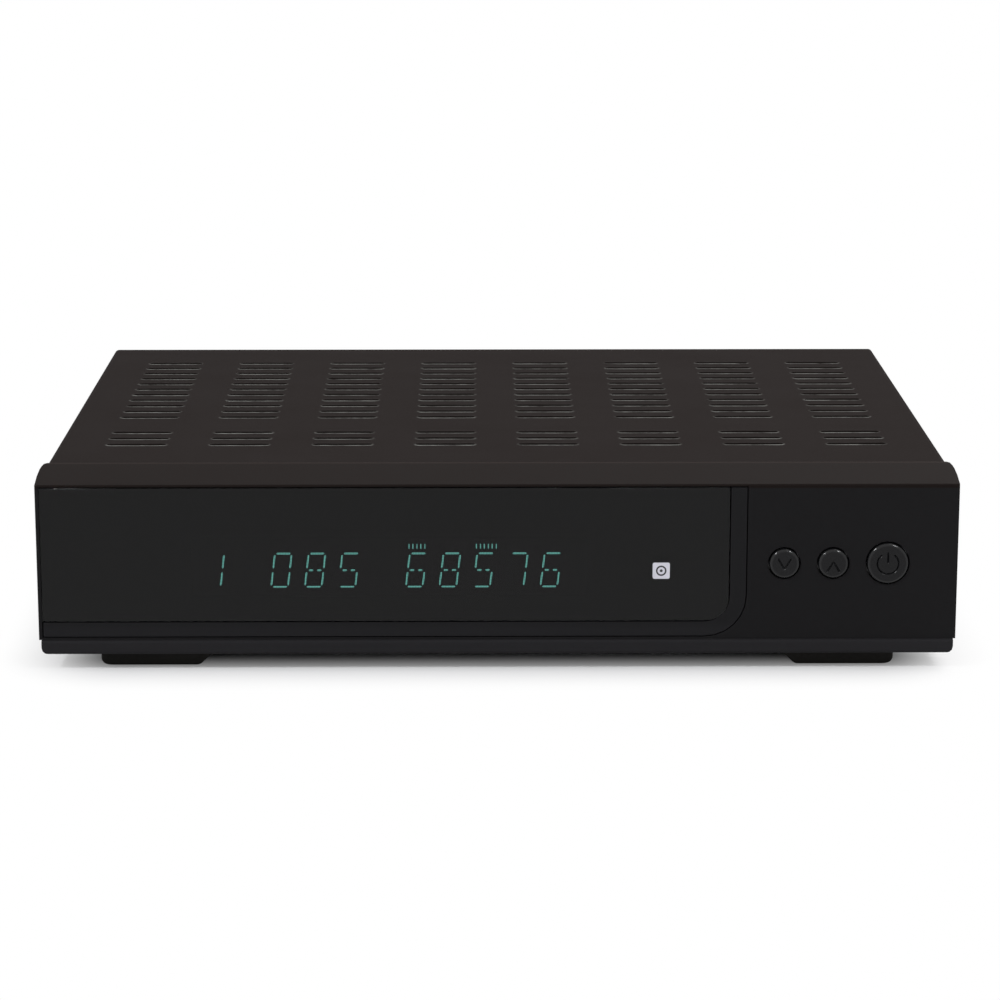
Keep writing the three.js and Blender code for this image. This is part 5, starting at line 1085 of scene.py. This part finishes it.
# A dark tongue stands in the mouth of a small socket. It takes half its width, its lower and upper level, and its
# length.
def makeTongue(name, node, half, low, high, length):
    values = tongueValues
    middle, mouth = mouthOf(node)
    x = middle[0] / mm
    outline = rectangle(x - half, x + half, low, high, values["corner"], values["cornerSteps"]) * mm
    platePiece(name, outline, length * mm, values["edge"] * mm, facing("rear", mouth - values["setBack"] * mm),
               "darkMoulding", node, slot="black_plastic")


videoValues = {"half": 5.75, "halfHeight": 0.7, "length": 5.95, "count": 19, "pitch": 0.5, "contactDepth": 6.4,
               "contactLevel": 0.71, "contactSize": (0.3, 5.2, 0.06)}
dataValues = {"half": 5.65, "belowTop": 1.4, "height": 1.95, "rise": 0.05, "length": 8.95, "contactDepth": 8.5,
              "contactX": [-3.5, -1.0, 1.0, 3.5], "contactBelow": 2.0, "contactSize": (1.0, 6.8, 0.08)}
networkValues = {"half": 5.9, "latchHalf": 3.1, "latchDepth": 1.6, "floor": 3.6, "top": 10.8, "clearance": 0.03,
                 "lining": [(0.02, 0.15), (0.3, 0.1), (0.34, 0.2), (0.34, 11.8), (0.02, 11.8)],
                 "floorDepth": 11.6, "floorThickness": 0.3, "floorEdge": 0.05, "wires": 8, "wirePitch": 1.02,
                 "wireWidth": 0.4, "wireDepth": 1.6, "wireBelow": 0.75, "wireRun": (0, -8.2, -1.9)}


def makeVideoSocket():
    values, node = videoValues, "digital_video_socket"
    middle, mouth = mouthOf(node)
    x, z = middle[0] / mm, middle[2] / mm
    makeTongue("videoTongue", node, values["half"], z - values["halfHeight"], z + values["halfHeight"],
               values["length"])
    size, across = values["contactSize"], centredRow(values["count"], values["pitch"])
    level = values["contactLevel"] * (1 - 2 * (np.arange(values["count"]) % 2))
    contactRow("videoContacts", node, x + across - size[0] / 2, mouth / mm - values["contactDepth"],
               z + level - size[2] / 2, size)


def makeDataSocket():
    values, node = dataValues, "data_socket"
    middle, mouth = mouthOf(node)
    top, size = boxOf(node)[1][2] / mm - values["belowTop"], values["contactSize"]
    makeTongue("dataTongue", node, values["half"], top - values["height"], top + values["rise"], values["length"])
    contactRow("dataContacts", node, middle[0] / mm + np.array(values["contactX"]) - size[0] / 2,
               mouth / mm - values["contactDepth"], top - values["contactBelow"], size)


# The network socket has a dark lining and eight sprung wires, each running straight back and down.
def makeNetworkSocket():
    values, node = networkValues, "network_socket"
    middle, mouth = mouthOf(node)
    x, base, half, latch = middle[0] / mm, boxOf(node)[0][2] / mm, values["half"], values["latchHalf"]
    floor, top, near = base + values["floor"], base + values["top"], values["clearance"]
    groove = floor - values["latchDepth"]
    outline = np.array([(x - half, floor), (x - latch, floor), (x - latch, groove), (x + latch, groove),
                        (x + latch, floor), (x + half, floor), (x + half, top), (x - half, top)]) * mm
    ringPiece("networkLining", outline, np.array(values["lining"]) * mm, facing("rear", mouth), "darkMoulding",
              node, slot="black_plastic")
    plan = rectangle(x - half + near, x + half - near, floor + near, top - near) * mm
    platePiece("networkFloor", plan, values["floorThickness"] * mm, values["floorEdge"] * mm,
               facing("rear", mouth - values["floorDepth"] * mm), "darkMoulding", node, slot="black_plastic")
    count, width = values["wires"], values["wireWidth"]
    across = x + centredRow(count, values["wirePitch"])
    corner = width * np.array([[0, 0], [0, 1], [1, 1], [1, 0]])
    start = together(across[:, None] - width / 2 + corner[:, 0], mouth / mm - values["wireDepth"],
                     top - values["wireBelow"] + corner[:, 1])
    points = np.stack([start, start + values["wireRun"]], 1)
    faces = np.concatenate([gridQuads(2, 4, closeColumns=True), [[0, 1, 2, 3], [4, 5, 6, 7]]])
    addPiece("networkWires", points * mm, repeated(faces, 8, count), "goldContact", node, smooth=False)


# Mains inlet pins, with drawn-in tips, and the 1 and 0 marks printed on the rocker's two slopes
mainsValues = {"pinSpacing": 8.6, "pinZ": 28.0, "tip": 92.64,
               "pinSteps": 32,
               "pin": [(0, 0), (0.75, 0.06), (1.1, 0.35), (1.24, 0.9), (1.24, 12.0), (0, 12.0)],
               "pivot": (93.2, 28.0), "tiltDeg": 8.0, "valley": 2.43, "slope": 0.132, "proud": 0.04,
               "bar": (-0.3, 0.3, 2.6, 5.6, 0.12, 4), "barEdge": 0.02, "ringRadii": (1.05, 1.5), "ringAt": -4.1,
               "ringSteps": 48}


def makeMainsDetails():
    values = mainsValues
    middle = mouthOf("mains_inlet")[0]
    for side, name in ((-1, "inletPinLeft"), (1, "inletPinRight")):
        turnedPiece(name, np.array(values["pin"]) * mm,
                    (middle[0] + side * values["pinSpacing"] / 2 * mm, values["pinZ"] * mm),
                    facing("rear", values["tip"] * mm), "nickelPlate", "mains_inlet", steps=values["pinSteps"],
                    slot="nickel")

    # a point (x, b) of a slope stands out a = valley + slope |b| + w, and the paddle is then turned by its tilt
    node, tilt, proud = "mains_switch_rocker", math.radians(values["tiltDeg"]), values["proud"]
    centre = mouthOf(node)[0][0] / mm

    def onSlope(u, v, w):
        out = values["valley"] + values["slope"] * np.abs(v) - w
        y = values["pivot"][0] + out * math.cos(tilt) - v * math.sin(tilt)
        z = values["pivot"][1] + out * math.sin(tilt) + v * math.cos(tilt)
        return together(centre + u, y, z) * mm

    bar = rectangle(*values["bar"])
    section = np.array([(values["barEdge"], -proud), (0.0, -proud / 2), (0.0, proud)])
    liddedPiece("rockerMarkOn", bar, section, onSlope, "paleInk", node, slot="white")
    inner, outer = values["ringRadii"]
    ring = np.array([(inner, proud), (inner, -proud), (outer, -proud), (outer, proud), (inner, proud)])
    turnedPiece("rockerMarkOff", ring, (0, values["ringAt"]), onSlope, "paleInk", node,
                steps=values["ringSteps"], slot="white")


# Screws: head w = h (1 - sqrt(1 - (r / R)^2)), a cross recess of depth d (1 - smoothstep) of the distance from its
# two strokes, getting shallower outwards, then the underside and a threaded shank.
screwValues = {"head": 2.8, "dome": 0.63, "headHeight": 1.4, "headEdge": (0.08, 0.05), "shank": 1.45, "tip": 0.9,
               "tipLength": 0.3, "pitch": 0.6, "threadDepth": 0.2, "step": 0.1, "recess": 1.0, "recessHalf": 1.5,
               "recessWidth": 0.42, "recessFloor": 0.4, "recessRise": 0.45, "innerRows": (1.9, 20),
               "outerRows": (2.0, 8), "rimInset": 0.02, "turns": 64}


def makeScrew(node, direction):
    values = screwValues
    low, high = boxOf(node)
    axis = {"rear": 1, "down": 2, "left": 0, "right": 0}[direction]
    middle = np.delete((low + high) / 2, axis) / mm
    level = (low if direction in ("down", "left") else high)[axis]
    length = (high - low)[axis] / mm
    head, height, shank, (edgeIn, edgeUp) = (values[key] for key in ("head", "headHeight", "shank", "headEdge"))
    (start, startRows), (onward, onwardRows) = values["innerRows"], values["outerRows"]
    r = np.append(np.linspace(0, start, startRows), np.linspace(onward, head - values["rimInset"], onwardRows))
    dome = np.stack([r, values["dome"] * (1 - np.sqrt(1 - (r / head) ** 2))], -1)
    run = np.arange(height + values["step"], length - values["tipLength"], values["step"])
    share = np.abs(2 * (run / values["pitch"] % 1) - 1)
    section = np.vstack([dome, [[head, values["dome"]], [head, height - edgeUp], [head - edgeIn, height],
                                [shank, height]],
                         np.stack([shank - values["threadDepth"] * (1 - share), run], -1),
                         [[values["tip"], length], [0, length]]])
    u, v = turned(section, values["turns"])
    reach, width = values["recessHalf"], values["recessWidth"]
    away = strokeDistance(u, v, [(-reach, 0, reach, 0), (0, -reach, 0, reach)])
    floor = width * values["recessFloor"]
    share = np.clip((away - floor) / (width - floor), 0, 1)
    recess = 1 - share * share * (3 - 2 * share)
    fall = values["recess"] * (1 - values["recessRise"] * np.clip(section[:, :1] / reach, 0, 1))
    w = section[:, 1:] + fall * recess * (np.arange(len(section)) < len(dome))[:, None]
    turnedPiece(pieceName(node, "Head"), section, middle,
                lambda *local: facing(direction, level)(*(part * mm for part in local)), "steelScrew", node,
                steps=values["turns"], w=w, replace=True)


makeAerialSocket("aerial_socket_out")
makeAerialSocket("aerial_socket_in")
for node in phonoColors:
    makePhonoSocket(node)
makeWideSocket()
makeVideoSocket()
makeDataSocket()
makeNetworkSocket()
makeMainsDetails()
for node in cadNodes:
    if node.startswith("foot_screw"):
        makeScrew(node, "down")
    elif node.startswith("cover_screw_rear"):
        makeScrew(node, "rear")
    elif node.startswith("cover_screw"):
        makeScrew(node, node.rsplit("_", 1)[1])
print("receiver: rear sockets and screws made")
